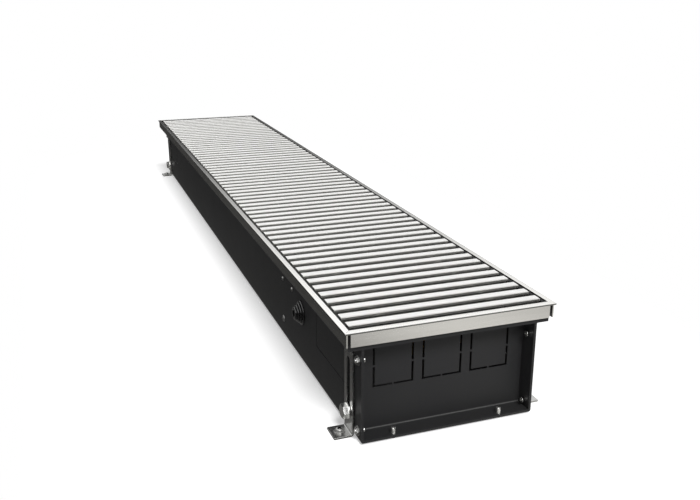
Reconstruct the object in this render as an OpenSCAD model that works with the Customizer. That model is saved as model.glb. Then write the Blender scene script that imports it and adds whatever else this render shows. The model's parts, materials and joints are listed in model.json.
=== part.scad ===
// Trench convector heater: a long floor trough with a roll-up grille, a finned
// heat exchanger and a cross-flow fan. The origin is on the floor under the middle.
// +X runs along the trough to its coupling end, +Y across it to the right, +Z up.

/* [Overall] */
// Length over the frame
frame_l = 1242; // [900:1:2400]
// Width over the frame
frame_w = 216; // [204:1:320]
// Height from the floor to the top of the frame
overall_h = 118; // [112:1:160]

/* [Frame profile] */
// Width of the long sides' top band
band_w = 5.8; // [5:0.1:9]
// Width of the end profiles' top band
end_band_w = 6.6; // [6.5:0.1:10]
// Thickness of the top band
band_t = 1.8; // [1.2:0.1:2.5]
// How far the skirt stands back under the band's outer edge
nose_set = 1.6; // [0.8:0.1:2]
// Thickness of the skirt
skirt_t = 1.4; // [1:0.1:2]
// Depth of the skirt below the top of the frame
skirt_h = 15; // [12:0.5:18]
// How far the end skirts stop short of the frame's side edges
skirt_corner_gap = 5.8; // [4.5:0.1:9]
// Length of each leg of a corner key
key_leg = 24; // [15:1:40]
// Thickness of a corner key
key_t = 1.6; // [1:0.1:2]
// Height of a corner key
key_h = 6.6; // [5:0.1:9]

/* [Tray] */
// Thickness of the tray's steel sheet
sheet_t = 1.2; // [0.8:0.1:1.5]
// Inside radius of the sheet's folds
fold_r = 1; // [0.6:0.1:1.5]
// Gap between the floor and the underside of the tray
floor_gap = 2; // [1.5:0.1:10]
// How far the tray's side walls stand in from the frame's outer edges
wall_inset = 17.3; // [15.5:0.1:22]
// Depth of the shelf's underside below the top of the frame
shelf_drop = 20; // [18:0.5:24]
// How far the side rims stand in from the frame's outer edges
rim_inset = 7.1; // [6.9:0.1:8]
// How far the tray's ends stand in from the frame's outer edges
end_inset = 4.6; // [4.5:0.1:6]
// How far the end plates stand in from the frame's outer edges
end_plate_inset = 24.5; // [22:0.5:40]
// Width of the rubber damping strips
damper_w = 6; // [4:0.5:7]
// Thickness of the rubber damping strips
damper_t = 1.8; // [1:0.1:3]

/* [Pipe knock-outs] */
// Width of a knock-out in the end plate
knockout_w = 42; // [30:1:44]
// Height of a knock-out in the end plate
knockout_h = 44; // [30:1:44]
// Spacing of the knock-outs
knockout_pitch = 51; // [46:1:56]
// Depth of the knock-outs' lower edge below the top of the frame
knockout_drop = 70.7; // [66:0.1:76]
// Width of the punched line round a knock-out
punch_w = 2.2; // [1.2:0.1:2.4]
// Width of the bridges that hold a knock-out
bridge_w = 1.6; // [1:0.1:3]
// Length of the knock-out in the side wall
side_knockout_l = 90; // [60:1:110]
// Depth of the side knock-out's lower edge below the top of the frame
side_knockout_drop = 75; // [60:0.5:84]
// Distance of the side knock-out from the foot bracket
side_knockout_gap = 4.5; // [2:0.5:20]
// Width of the punched line round the side knock-out
side_punch_w = 1.1; // [0.8:0.1:2]

/* [Grille] */
// Spacing of the slats
slat_pitch = 20; // [18:0.5:24]
// Width of a slat's top
slat_w = 10.5; // [8:0.1:12]
// Thickness of a slat's top
slat_top_t = 2.6; // [2:0.1:4]
// Thickness of a slat's web
slat_web_t = 2.4; // [1.6:0.1:3]
// Width of a slat's foot
slat_foot_w = 7.6; // [6:0.1:9]
// Thickness of a slat's foot
slat_foot_t = 2; // [1.5:0.1:3]
// Rounding along a slat's top edges
slat_edge_r = 0.8; // [0.4:0.1:1]
// Gap between the slats' ends and the side rims
slat_end_gap = 0.5; // [0.4:0.1:1.5]
// Least gap between the outermost slats and the end rims
slat_side_gap = 8; // [7.9:0.1:12]
// Diameter of the springs that string the slats
spring_d = 3.6; // [3:0.1:5]
// Diameter of the spacer sleeves on the springs
spacer_d = 8; // [7:0.1:10]
// Distance between the two springs
spring_spacing = 120; // [80:1:150]
// Gap between a sleeve's rounded nose and the next web
nose_gap = 0.4; // [0.3:0.1:1]

/* [Feet] */
// Width of a foot bracket
bracket_w = 22.5; // [20:0.5:30]
// Thickness of a foot bracket
bracket_t = 2; // [1.5:0.1:3]
// Inside radius of a foot bracket's fold
bracket_fold_r = 1.5; // [1:0.1:3]
// Gap between a foot bracket and the coupling washers beside it
bracket_beside = 3.85; // [1:0.05:10]
// Reach of a foot outside the tray wall
foot_reach = 20.4; // [19:0.1:40]
// Depth of a bracket's top below the top of the frame
bracket_drop = 31; // [28:0.5:36]
// Height of the bolt's axis above the tray's underside
bolt_rise = 21; // [19:0.5:26]
// Distance from a bracket's top down to the middle of the slot's upper end
slot_margin = 12; // [8:0.5:25]
// Width of the slot in a bracket
slot_w = 9; // [8.6:0.1:9.5]
// Radius of the rounded corners of a bracket
bracket_corner_r = 1; // [1:0.5:6]
// Diameter of the bracket bolt
bolt_d = 8; // [6:0.1:8]
// Width across the flats of the bolt's head and nut
bolt_af = 13; // [10:0.5:13]
// Height of the bolt's head
bolt_head_h = 5.3; // [4:0.1:6]
// Height of the bolt's nut
bolt_nut_h = 6.5; // [5:0.1:8]
// Diameter of the bolt's washer
bolt_washer_d = 16; // [14:0.5:18]
// Thickness of the bolt's washer
bolt_washer_t = 1.6; // [1:0.1:2]
// Diameter of the floor screw's shank
floor_screw_d = 5; // [4:0.1:6]
// Diameter of the floor screw's head
floor_screw_head_d = 8; // [7:0.1:9]
// Height of the floor screw's head
floor_screw_head_h = 3; // [2:0.1:4]
// Diameter of the floor screw's washer
floor_washer_d = 11; // [10:0.5:14]
// Thickness of the floor screw's washer
floor_washer_t = 1.1; // [0.8:0.1:1.6]

/* [Levelling and coupling screws] */
// Diameter of a levelling screw
level_d = 5; // [4:0.1:6]
// Height of a levelling screw above the floor flange
level_stand = 7; // [5:0.5:12]
// Distance of the levelling screws from the tray's end
level_inset = 4.4; // [4:0.1:8]
// Distance between the levelling screws at one end
level_spacing = 113; // [80:1:140]
// Diameter of a coupling screw
couple_d = 4; // [3:0.1:5]
// Diameter of a coupling screw's countersunk head
couple_head_d = 7.5; // [6:0.1:9]
// Gap between the wall flange and the widest part of the coupling screw's head
couple_stand = 3.5; // [3:0.1:8]
// Distance of the coupling screws from the tray's end
couple_inset = 8.9; // [8:0.1:14]
// Depth of the upper coupling screws below the top of the frame
couple_high_drop = 34.2; // [30:0.1:40]
// Height of the lower coupling screws above the tray's underside
couple_rise = 9.4; // [7.5:0.1:14]
// Width across the flats of a coupling nut
couple_nut_af = 7; // [6:0.5:8]
// Height of a coupling nut
couple_nut_h = 2; // [2:0.1:4]
// Diameter of a coupling washer
couple_washer_d = 10; // [9:0.5:12]
// Thickness of a coupling washer
couple_washer_t = 0.6; // [0.6:0.1:1.5]

/* [Heat exchanger] */
// Distance from the end plate to the exchanger at the coupling end
chamber_l = 150; // [140:1:200]
// Distance from the far end plate to the exchanger
far_chamber_l = 72; // [60:1:120]
// Width of a fin
fin_w = 76; // [60:1:80]
// Height of a fin
fin_h = 56; // [40:1:60]
// Thickness of a fin
fin_t = 0.5; // [0.3:0.1:0.8]
// Spacing of the fins
fin_pitch = 8; // [6:0.5:16]
// Gap between the fins and the right-hand wall
fin_wall_gap = 5; // [3:0.5:8]
// Height of the fins above the tray floor
fin_rise = 8; // [5:0.5:14]
// Outside diameter of a copper tube
tube_d = 12; // [10:0.5:15]
// Wall thickness of a copper tube
tube_wall = 1; // [0.6:0.1:1.5]
// Spacing of the tubes across the trough
tube_span = 38; // [34:1:44]
// Spacing of the tubes in height
tube_rise = 28; // [24:1:34]
// Gap between a fin and an exchanger bracket
fin_end_gap = 6; // [4:0.5:12]
// Depth of a manifold block
manifold_w = 20; // [18:0.5:22]
// Gap between the exchanger bracket and a manifold
manifold_gap = 14; // [10:0.5:20]
// Outside diameter of a pipe socket
socket_d = 27; // [25:0.5:30]
// Length of a pipe socket
socket_l = 16; // [12:0.5:22]
// Inside diameter of a pipe socket's thread
thread_d = 18.6; // [16:0.1:20]
// Diameter of the air vent screw
vent_d = 8; // [6:0.5:10]
// Height of the air vent screw above its manifold
vent_rise = 6; // [4:0.5:8]

/* [Fan] */
// Diameter of the impeller
fan_d = 44; // [36:1:46]
// Number of impeller blades
fan_blades = 24; // [16:1:32]
// Depth of an impeller blade
blade_depth = 7; // [5:0.5:9]
// Thickness of an impeller blade
blade_t = 1; // [0.6:0.1:1.4]
// Number of impeller discs
fan_discs = 7; // [3:1:12]
// Thickness of an impeller disc
disc_t = 2; // [1.5:0.1:3]
// Diameter of the fan shaft
shaft_d = 6; // [5:0.5:8]
// Radial gap between the impeller and its housing
fan_gap = 4; // [3:0.5:6]
// Thickness of the fan housing's sheet
housing_t = 1; // [0.8:0.1:1.5]
// Gap between the fan housing and the left wall
fan_wall_gap = 9; // [5:0.5:14]
// Height of the fan housing above the tray floor
fan_rise = 6; // [4:0.5:10]
// Thickness of the fan's end plates
fan_plate_t = 1.5; // [1:0.1:2]
// Diameter of the motor
motor_d = 42; // [36:1:46]
// Length of the motor
motor_l = 48; // [36:1:60]
// Diameter of the bearing boss
boss_d = 16; // [14:0.5:20]
// Diameter of the bearing bush's collar
collar_d = 22; // [21:0.5:26]
// Radial running gap of the shaft in its bearings
run_gap = 0.05; // [0.03:0.01:0.08]

/* [Terminal box] */
// Length of the terminal box
box_l = 108; // [104:1:130]
// Depth of the terminal box from the wall
box_w = 34; // [28:1:40]
// Depth of the terminal box's top below the top of the frame
box_drop = 34.8; // [33:0.1:38]
// Wall thickness of the terminal box
box_t = 2; // [1.5:0.1:3]
// Distance from the frame's end to the terminal box
box_inset = 172; // [170:1:176]
// Height of the terminal box above the tray floor
box_rise = 16; // [12:1:18]
// Distance of the cable grommet from the box's near end
grommet_in = 23; // [18.5:0.5:30]
// Depth of the cable grommet's axis below the top of the frame
grommet_drop = 57.5; // [56:0.5:62]
// Diameter of the grommet's flange
grommet_flange_d = 32; // [30:0.5:34]
// Diameter of the grommet's widest step
grommet_d = 28; // [26:0.5:28.5]
// Diameter of the grommet's tip
grommet_tip_d = 14; // [11:0.5:16]
// Height of the grommet outside the wall
grommet_h = 9; // [9:0.5:16]
// Number of steps on the grommet
grommet_steps = 6; // [3:1:9]
// Diameter of the cable hole in the grommet's tip
cable_hole_d = 8; // [6:0.5:8.5]
// Diameter of the box screws
box_screw_d = 3; // [2.5:0.1:3.5]
// Diameter of the box screws' heads
box_head_d = 5.2; // [4.5:0.1:6]
// Height of the box screws' heads
box_head_h = 2; // [1.5:0.1:3]
// Length of the box screws and lid screws
box_screw_l = 9; // [6:0.5:12]
// Diameter of the earth screw's head
earth_head_d = 8.4; // [7:0.1:9]
// Diameter of the motor cable
cable_d = 6; // [4:0.5:7]
// Diameter of the motor cable's gland
gland_d = 9.6; // [8.5:0.1:12]
// Length of the motor cable between box and motor
cable_run = 30; // [26:1:60]
// Number of poles on the terminal block
poles = 6; // [3:1:8]
// Width of one pole of the terminal block
pole_w = 8; // [6:0.5:9]
// Depth of the terminal block
block_w = 17; // [12:0.5:18]
// Height of the terminal block
block_h = 16; // [12:0.5:24]

/* [Hidden] */

// Smoothness of the round surfaces
$fn = 32;
// Facets of a sheet fold
fold_steps = 6;
// Overrun of every cut past the face that it opens
over = 1;
// Gap between pieces of one body that lie beside each other
seat_gap = 0.1;
// Gap between pieces that slide past each other
slide_gap = 0.3;
// Radial clearance of a screw in its hole
screw_gap = 0.25;
// Radial clearance of a levelling screw in its threaded hole
thread_gap = 0.06;

// Main places along the trough
half_l = frame_l / 2;
half_w = frame_w / 2;
tray_end = half_l - end_inset;
wall_y = half_w - wall_inset;
plate_x = half_l - end_plate_inset;
shelf_z = overall_h - shelf_drop;
shelf_top = shelf_z + sheet_t;
floor_z = floor_gap + sheet_t;
wall_in_y = wall_y - sheet_t;
rim_y = half_w - rim_inset;
rim_in_y = rim_y - sheet_t;
lip_z = overall_h - band_t;
skirt_in = nose_set + skirt_t;
rim_end_y = half_w - skirt_in - key_t - seat_gap;

// Grille
slat_half_l = min(rim_in_y, half_w - band_w) - slat_end_gap;
slat_bottom = shelf_top + damper_t + slide_gap;
slat_h = overall_h - slat_bottom;
grille_room = 2 * (tray_end - sheet_t - slat_side_gap);
slat_count = floor((grille_room - slat_w) / slat_pitch) + 1;
slat_first = (slat_count - 1) / 2 * slat_pitch;
// Slats at the coupling end that roll up
roll_count = 8;
// Height of the springs, as a share of the slat's height
spring_z_share = 0.5;
spring_z = slat_bottom + slat_h * spring_z_share;
sleeve_l = slat_pitch - slat_web_t;
// Places of the knock-outs across the end plate, in pitches
knockout_shares = [-1, 0, 1];
// Heights of the side bridges of an end knock-out and of a side knock-out
bridge_share = 0.5;
side_bridge_share = 0.92;

// Levelling and coupling screws
level_x = tray_end - level_inset;
couple_x = tray_end - couple_inset;
couple_in_y = wall_in_y - seat_gap - sheet_t;
couple_zs = [overall_h - couple_high_drop, floor_gap + couple_rise];

// Feet
bolt_r = bolt_af / cos(30) / 2;
bolt_z = floor_gap + bolt_rise;
bracket_x = min(couple_x - couple_washer_d / 2 - bracket_beside - bracket_w / 2,
                plate_x - sheet_t - bolt_r - slide_gap);
bracket_in_y = wall_y + slide_gap;
bracket_top = overall_h - bracket_drop;
bracket_mid_y = bracket_in_y + bracket_t / 2;
foot_out_y = wall_y + foot_reach;
floor_screw_y = (foot_out_y + bracket_in_y + bracket_t) / 2;
washer_in_y = bracket_in_y + bracket_t + slide_gap;
slot_low_z = bolt_z + (slot_w - bolt_d) / 2 - slide_gap;
slot_top_z = bracket_top - slot_margin;

// Heat exchanger
fin_y = wall_in_y - fin_wall_gap - fin_w / 2;
fin_z = floor_z + fin_rise + fin_h / 2;
exch_near_x = plate_x - chamber_l;
exch_far_x = -plate_x + far_chamber_l;
fin_near_x = exch_near_x - sheet_t - fin_end_gap;
fin_far_x = exch_far_x + sheet_t + fin_end_gap;
fin_count = floor((fin_near_x - fin_far_x) / fin_pitch) + 1;
tube_in_y = fin_y - tube_span / 2;
tube_out_y = fin_y + tube_span / 2;
manifold_x = exch_near_x + manifold_gap + manifold_w / 2;
manifold_h = tube_rise + tube_d + manifold_w / 2;

// Terminal box
box_near_x = half_l - box_inset;
box_far_x = box_near_x - box_l;
box_z = floor_z + box_rise;
box_h = overall_h - box_drop - box_z;
box_y = wall_in_y - seat_gap;
grommet_x = box_near_x - grommet_in;
grommet_z = overall_h - grommet_drop;
grommet_step = (grommet_d - grommet_tip_d) / 2 / (grommet_steps - 1);
post_w = 3 * box_t + box_screw_d;
post_y = -box_y + box_w - post_w / 2;
lid_screw_xs = [box_far_x + post_w / 2, box_near_x - post_w / 2];
// Screws between box and wall, as shares of the box's length from its near end and of its height
box_screw_shares = [[0.54, 0.88], [0.9, 0.88]];
earth_screw_share = [0.91, 0.07];

// Fan
housing_r = fan_d / 2 + fan_gap;
fan_y = -(wall_in_y - fan_wall_gap - housing_t - housing_r);
fan_z = floor_z + fan_rise + housing_t + housing_r;
fan_near_x = box_far_x - cable_run - motor_l;
fan_far_x = exch_far_x;
impeller_gap = fan_gap;
cable_y = -box_y + box_w - box_t - cable_d;
cable_z = fan_z + motor_d / 8;
impeller_near_x = fan_near_x - fan_plate_t - impeller_gap;
impeller_far_x = fan_far_x + fan_plate_t + impeller_gap;

steel_black = [0.13, 0.13, 0.14];
zinc = [0.75, 0.76, 0.77];
aluminium = [0.85, 0.85, 0.83];
copper = [0.72, 0.43, 0.27];
brass = [0.78, 0.64, 0.32];
rubber = [0.05, 0.05, 0.05];
plastic = [0.3, 0.31, 0.33];
block_white = [0.85, 0.85, 0.82];

function unit(v) = v / norm(v);
function left_of(d) = [-d[1], d[0]];
function spun(v, a) = [v[0] * cos(a) - v[1] * sin(a), v[0] * sin(a) + v[1] * cos(a)];
function reversed(list) = [for (i = [len(list) - 1 : -1 : 0]) list[i]];
function turn(p, i) =
    let (a = unit(p[i] - p[i - 1]), b = unit(p[i + 1] - p[i])) atan2(a[0] * b[1] - a[1] * b[0], a * b);

// One side of a folded sheet, off to the left of its middle line
function sheet_side(p, off, r) = [
    for (i = [0 : len(p) - 1])
        if (i == 0) p[0] + off * left_of(unit(p[1] - p[0]))
        else if (i == len(p) - 1) p[i] + off * left_of(unit(p[i] - p[i - 1]))
        else each fold_points(p[i], unit(p[i] - p[i - 1]), turn(p, i), off, r)
];
function fold_points(corner, d, a, off, r) =
    let (start = corner - d * r * tan(abs(a) / 2), c = start + sign(a) * r * left_of(d))
    [for (k = [0 : fold_steps]) c + (off - sign(a) * r) * spun(left_of(d), a * k / fold_steps)];

// Section of a folded sheet along the points of its middle line, with inside radius r_in
function sheet_outline(p, t, r_in) =
    concat(sheet_side(p, t / 2, r_in + t / 2), reversed(sheet_side(p, -t / 2, r_in + t / 2)));

// Section of a ring between two angles
function arc_band(r0, r1, a0, a1, n) = concat(
    [for (k = [0 : n]) r1 * [cos(a0 + (a1 - a0) * k / n), sin(a0 + (a1 - a0) * k / n)]],
    [for (k = [n : -1 : 0]) r0 * [cos(a0 + (a1 - a0) * k / n), sin(a0 + (a1 - a0) * k / n)]]
);

// Extrudes a section drawn in Y and Z from x0 to x1
module along_x(x0, x1) {
    translate([x0, 0, 0]) rotate([90, 0, 90]) linear_extrude(x1 - x0) children();
}

// Extrudes a section drawn in X and Z from y0 to y1
module along_y(y0, y1) {
    translate([0, y1, 0]) rotate([90, 0, 0]) linear_extrude(y1 - y0) children();
}

module block(x0, x1, y0, y1, z0, z1) {
    translate([x0, y0, z0]) cube([x1 - x0, y1 - y0, z1 - z0]);
}

// Round bar along X, Y or Z from one end to the other
module bar_x(x0, x1, y, z, d) {
    translate([x0, y, z]) rotate([0, 90, 0]) cylinder(h = x1 - x0, d = d);
}

module bar_y(x, y0, y1, z, d) {
    translate([x, y1, z]) rotate([90, 0, 0]) cylinder(h = y1 - y0, d = d);
}

module bar_z(x, y, z0, z1, d) {
    translate([x, y, z0]) cylinder(h = z1 - z0, d = d);
}

// Hexagon prism along Y
module hex_y(x, y0, y1, z, af) {
    translate([x, y1, z]) rotate([90, 0, 0]) cylinder(h = y1 - y0, d = af / cos(30), $fn = 6);
}

// Draws its children at both ends of the trough, or on both sides of it
module both_ends() {
    children();
    mirror([1, 0, 0]) children();
}

module both_sides() {
    children();
    mirror([0, 1, 0]) children();
}

// Plane section that rounds the corner of a plate at the origin, cut away with over to spare
module corner_cut(r) {
    difference() {
        translate([-over, -over]) square([r + over, r + over]);
        translate([r, r]) circle(r);
    }
}

// Holes for the coupling screws in the walls and flanges at one end, through both sides
module coupling_holes() {
    for (z = couple_zs)
        bar_y(couple_x, -wall_y - over, wall_y + over, z, couple_d + 2 * screw_gap);
}

// Holes for the levelling screws in the floor at one end
module levelling_holes() {
    for (y = [-level_spacing / 2, level_spacing / 2])
        bar_z(level_x, y, -over, floor_z + sheet_t + over, level_d + 2 * thread_gap);
}

// Punched line round a knock-out of w by h with its lower edge at the origin, cut by bridges
module punched_line(w, h, line_w, side_share) {
    difference() {
        translate([-w / 2, 0]) square([w, h]);
        translate([-w / 2 + line_w, line_w]) square([w - 2 * line_w, h - 2 * line_w]);
        translate([-w / 2 - over, (h - bridge_w) * side_share]) square([w + 2 * over, bridge_w]);
        translate([-bridge_w / 2, -over]) square([bridge_w, h + 2 * over]);
    }
}

// Casing

module tray() {
    lip_y = half_w - skirt_in - slide_gap;
    half_path = [
        [wall_y - sheet_t / 2, floor_gap + sheet_t / 2], [wall_y - sheet_t / 2, shelf_z + sheet_t / 2],
        [rim_y - sheet_t / 2, shelf_z + sheet_t / 2], [rim_y - sheet_t / 2, lip_z - sheet_t / 2],
        [lip_y, lip_z - sheet_t / 2]
    ];
    path = concat(reversed([for (p = half_path) [-p[0], p[1]]]), half_path);
    color(steel_black) difference() {
        along_x(-tray_end, tray_end) polygon(sheet_outline(path, sheet_t, fold_r));
        both_ends() {
            block(tray_end - sheet_t - seat_gap, tray_end + over, -half_w, half_w, shelf_z, overall_h + over);
            coupling_holes();
            levelling_holes();
            both_sides() bar_y(bracket_x, wall_in_y - over, wall_y + over, bolt_z, bolt_d + 2 * screw_gap);
            side_knockouts();
        }
        bar_y(grommet_x, -wall_y - over, -wall_in_y + over, grommet_z, grommet_d - 2 * grommet_step);
        box_screw_holes(-wall_y - over, -wall_in_y + over);
    }
}

module side_knockouts() {
    w = side_knockout_l;
    z0 = overall_h - side_knockout_drop;
    mid_x = bracket_x - bracket_w / 2 - side_knockout_gap - w / 2;
    both_sides() translate([mid_x, 0, 0]) along_y(wall_in_y - over, wall_y + over)
        translate([0, z0]) punched_line(w, shelf_z - fold_r - sheet_t - z0, side_punch_w, side_bridge_share);
}

module near_end_plate() {
    color(steel_black) end_plate();
}

module far_end_plate() {
    color(steel_black) mirror([1, 0, 0]) end_plate();
}

module end_plate() {
    inner_y = wall_in_y - seat_gap;
    low_z = floor_z + sheet_t / 2;
    web_x = plate_x - sheet_t / 2;
    rim_x = tray_end - sheet_t / 2;
    lip_x = half_l - skirt_in - slide_gap;
    pan = [[tray_end, low_z], [web_x, low_z], [web_x, shelf_z + sheet_t / 2], [rim_x, shelf_z + sheet_t / 2],
           [rim_x, shelf_top + over]];
    rim = [[rim_x, shelf_z], [rim_x, lip_z - sheet_t / 2], [lip_x, lip_z - sheet_t / 2]];
    difference() {
        union() {
            along_y(-inner_y, inner_y) polygon(sheet_outline(pan, sheet_t, fold_r));
            along_y(-rim_end_y, rim_end_y) polygon(sheet_outline(rim, sheet_t, fold_r / 2));
            both_sides()
                block(web_x, tray_end, inner_y - sheet_t, inner_y, low_z, shelf_z + sheet_t / 2);
        }
        coupling_holes();
        levelling_holes();
        for (share = knockout_shares) translate([0, share * knockout_pitch, 0])
            along_x(plate_x - sheet_t - over, plate_x + over)
                translate([0, overall_h - knockout_drop]) punched_line(knockout_w, knockout_h, punch_w, bridge_share);
    }
}

module damping_strips() {
    y1 = rim_in_y - fold_r;
    l = plate_x;
    color(rubber) both_sides() block(-l, l, y1 - damper_w, y1, shelf_top, shelf_top + damper_t);
}

// Frame

// Band and skirt of one profile, drawn as if along X with the outer edge at y_out
module profile_section(y_out, width) {
    translate([y_out - width, overall_h - band_t]) square([width, band_t]);
    translate([y_out - skirt_in, overall_h - skirt_h]) square([skirt_t, skirt_h]);
}

// Plan of a side profile's band between its mitres
module mitre_plan() {
    polygon([[-half_l, half_w], [half_l, half_w], [half_l - end_band_w, half_w - band_w],
             [-half_l + end_band_w, half_w - band_w]]);
}

module side_profile() {
    intersection() {
        along_x(-half_l, half_l) translate([half_w - band_w, lip_z]) square([band_w, band_t]);
        translate([0, 0, lip_z - over]) linear_extrude(band_t + 2 * over) mitre_plan();
    }
    block(-half_l + nose_set, half_l - nose_set, half_w - skirt_in, half_w - nose_set,
          overall_h - skirt_h, lip_z);
}

module end_profile() {
    skirt_y = half_w - skirt_corner_gap;
    difference() {
        along_y(-half_w, half_w) translate([half_l - end_band_w, lip_z]) square([end_band_w, band_t]);
        both_sides() translate([0, 0, lip_z - over]) linear_extrude(band_t + 2 * over) mitre_plan();
    }
    block(half_l - skirt_in, half_l - nose_set, -skirt_y, skirt_y, overall_h - skirt_h, lip_z);
}

module frame_left() {
    color(aluminium) mirror([0, 1, 0]) side_profile();
}

module frame_right() {
    color(aluminium) side_profile();
}

module frame_near_end() {
    color(aluminium) end_profile();
}

module frame_far_end() {
    color(aluminium) mirror([1, 0, 0]) end_profile();
}

module frame_corner_keys() {
    x1 = half_l - skirt_in;
    y1 = half_w - skirt_in;
    z1 = lip_z - sheet_t - fold_r - seat_gap;
    color(zinc) both_ends() both_sides() {
        block(x1 - key_leg, x1, y1 - key_t, y1, z1 - key_h, z1);
        block(x1 - key_t, x1, y1 - key_leg, y1, z1 - key_h, z1);
    }
}

// Grille

module slat_section() {
    r = slat_edge_r;
    half_top = slat_w / 2;
    z1 = overall_h;
    translate([-half_top, z1 - slat_top_t]) square([slat_w, slat_top_t - r]);
    translate([-half_top + r, z1 - slat_top_t]) square([slat_w - 2 * r, slat_top_t]);
    for (x = [-half_top + r, half_top - r]) translate([x, z1 - r]) circle(r);
    translate([-slat_web_t / 2, slat_bottom]) square([slat_web_t, slat_h - r]);
    translate([-slat_foot_w / 2, slat_bottom]) square([slat_foot_w, slat_foot_t]);
}

// One slat with its middle at x = 0
module slat() {
    difference() {
        along_y(-slat_half_l, slat_half_l) slat_section();
        for (y = [-spring_spacing / 2, spring_spacing / 2])
            bar_x(-slat_web_t, slat_web_t, y, spring_z, spring_d + 2 * screw_gap);
    }
}

// Places of the fixed slats, counted from the far end
fixed_xs = [for (i = [0 : slat_count - roll_count - 1]) -slat_first + i * slat_pitch];
roll_far_x = fixed_xs[len(fixed_xs) - 1];

module grille_slats() {
    color(aluminium) for (x = fixed_xs) translate([x, 0, 0]) slat();
}

module grille_spacers() {
    color(plastic) for (i = [1 : len(fixed_xs) - 1], y = [-spring_spacing / 2, spring_spacing / 2]) {
        x0 = fixed_xs[i - 1] + slat_web_t / 2;
        difference() {
            bar_x(x0, x0 + sleeve_l, y, spring_z, spacer_d);
            bar_x(x0 - over, x0 + sleeve_l + over, y, spring_z, spring_d + 2 * seat_gap);
        }
    }
}

// The wound springs, as rods with a head at each end of the fixed slats
module grille_springs() {
    x0 = fixed_xs[0] - slat_web_t / 2;
    x1 = roll_far_x + slat_web_t / 2;
    color(zinc) for (y = [-spring_spacing / 2, spring_spacing / 2]) {
        bar_x(x0 - slat_web_t / 2, x1, y, spring_z, spring_d);
        bar_x(x0 - slat_web_t, x0, y, spring_z, spacer_d);
    }
}

// Slat i counted from the coupling end, with its two sleeves towards the next slat. Each sleeve
// ends in a round nose across it, and the slat turns about the middle of that nose.
module roll_slat(i) {
    x = slat_first - (i - 1) * slat_pitch;
    nose_x = x - slat_pitch + slat_web_t / 2 + nose_gap + spacer_d / 2;
    color(aluminium) {
        translate([x, 0, 0]) slat();
        for (y = [-spring_spacing / 2, spring_spacing / 2]) {
            bar_x(nose_x, x - slat_web_t / 2 - seat_gap, y, spring_z, spacer_d);
            bar_y(nose_x, y - spacer_d / 2, y + spacer_d / 2, spring_z, spacer_d);
            bar_x(nose_x, x + slat_web_t / 2, y, spring_z, spring_d);
            if (i == 1)
                bar_x(x + slat_web_t / 2 + seat_gap, x + slat_web_t, y, spring_z, spacer_d);
        }
    }
}

module roll_slat_1() { roll_slat(1); }
module roll_slat_2() { roll_slat(2); }
module roll_slat_3() { roll_slat(3); }
module roll_slat_4() { roll_slat(4); }
module roll_slat_5() { roll_slat(5); }
module roll_slat_6() { roll_slat(6); }
module roll_slat_7() { roll_slat(7); }
module roll_slat_8() { roll_slat(8); }

// Feet, drawn for the right side at the coupling end

module foot_bracket() {
    x0 = bracket_x - bracket_w / 2;
    x1 = bracket_x + bracket_w / 2;
    path = [[foot_out_y, bracket_t / 2], [bracket_mid_y, bracket_t / 2], [bracket_mid_y, bracket_top]];
    color(zinc) difference() {
        along_x(x0, x1) polygon(sheet_outline(path, bracket_t, bracket_fold_r));
        for (z = [slot_low_z, slot_top_z])
            bar_y(bracket_x, bracket_in_y - over, bracket_in_y + bracket_t + over, z, slot_w);
        block(bracket_x - slot_w / 2, bracket_x + slot_w / 2, bracket_in_y - over,
              bracket_in_y + bracket_t + over, slot_low_z, slot_top_z);
        bar_z(bracket_x, floor_screw_y, -over, bracket_t + over, floor_screw_d + 2 * screw_gap);
        for (s = [-1, 1]) translate([bracket_x + s * bracket_w / 2, 0, 0]) {
            translate([0, foot_out_y, -over]) linear_extrude(bracket_t + 2 * over)
                scale([-s, -1]) corner_cut(bracket_corner_r);
            translate([0, 0, bracket_top]) along_y(bracket_in_y - over, bracket_in_y + bracket_t + over)
                scale([-s, -1]) corner_cut(bracket_corner_r);
        }
    }
}

// Pan head screw with a cross recess, and its washer. The shank ends where the floor begins.
module floor_screw() {
    z1 = bracket_t + floor_washer_t + seat_gap;
    color(zinc) translate([bracket_x, floor_screw_y, 0]) {
        translate([0, 0, slide_gap]) cylinder(h = z1 - slide_gap, d = floor_screw_d);
        translate([0, 0, z1]) screw_head(floor_screw_head_d, floor_screw_head_h);
        translate([0, 0, bracket_t]) difference() {
            cylinder(h = floor_washer_t, d = floor_washer_d);
            translate([0, 0, -over]) cylinder(h = floor_washer_t + 2 * over, d = floor_screw_d + 2 * seat_gap);
        }
    }
}

// Domed head standing on z = 0 with a cross recess in its top
module screw_head(d, h) {
    flatness_share = 1.15;
    dome_r = (d * d / 4 + h * h) / (2 * h) * flatness_share;
    difference() {
        intersection() {
            cylinder(h = h, d = d);
            translate([0, 0, h - dome_r]) sphere(dome_r);
        }
        translate([0, 0, h / 2]) cross_recess(d, h);
    }
}

// Cross that is cut h deep into a screw head of diameter d, from z = 0 up
module cross_recess(d, h) {
    arm_w_share = 0.16;
    arm_l_share = 0.62;
    for (a = [0, 90]) rotate(a) translate([-d * arm_l_share / 2, -d * arm_w_share / 2, 0])
        cube([d * arm_l_share, d * arm_w_share, h]);
}

module foot_bracket_near_right() { foot_bracket(); }
module foot_bracket_near_left() { mirror([0, 1, 0]) foot_bracket(); }
module foot_bracket_far_right() { mirror([1, 0, 0]) foot_bracket(); }
module foot_bracket_far_left() { mirror([1, 0, 0]) mirror([0, 1, 0]) foot_bracket(); }
module floor_screw_near_right() { floor_screw(); }
module floor_screw_near_left() { mirror([0, 1, 0]) floor_screw(); }
module floor_screw_far_right() { mirror([1, 0, 0]) floor_screw(); }
module floor_screw_far_left() { mirror([1, 0, 0]) mirror([0, 1, 0]) floor_screw(); }

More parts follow.
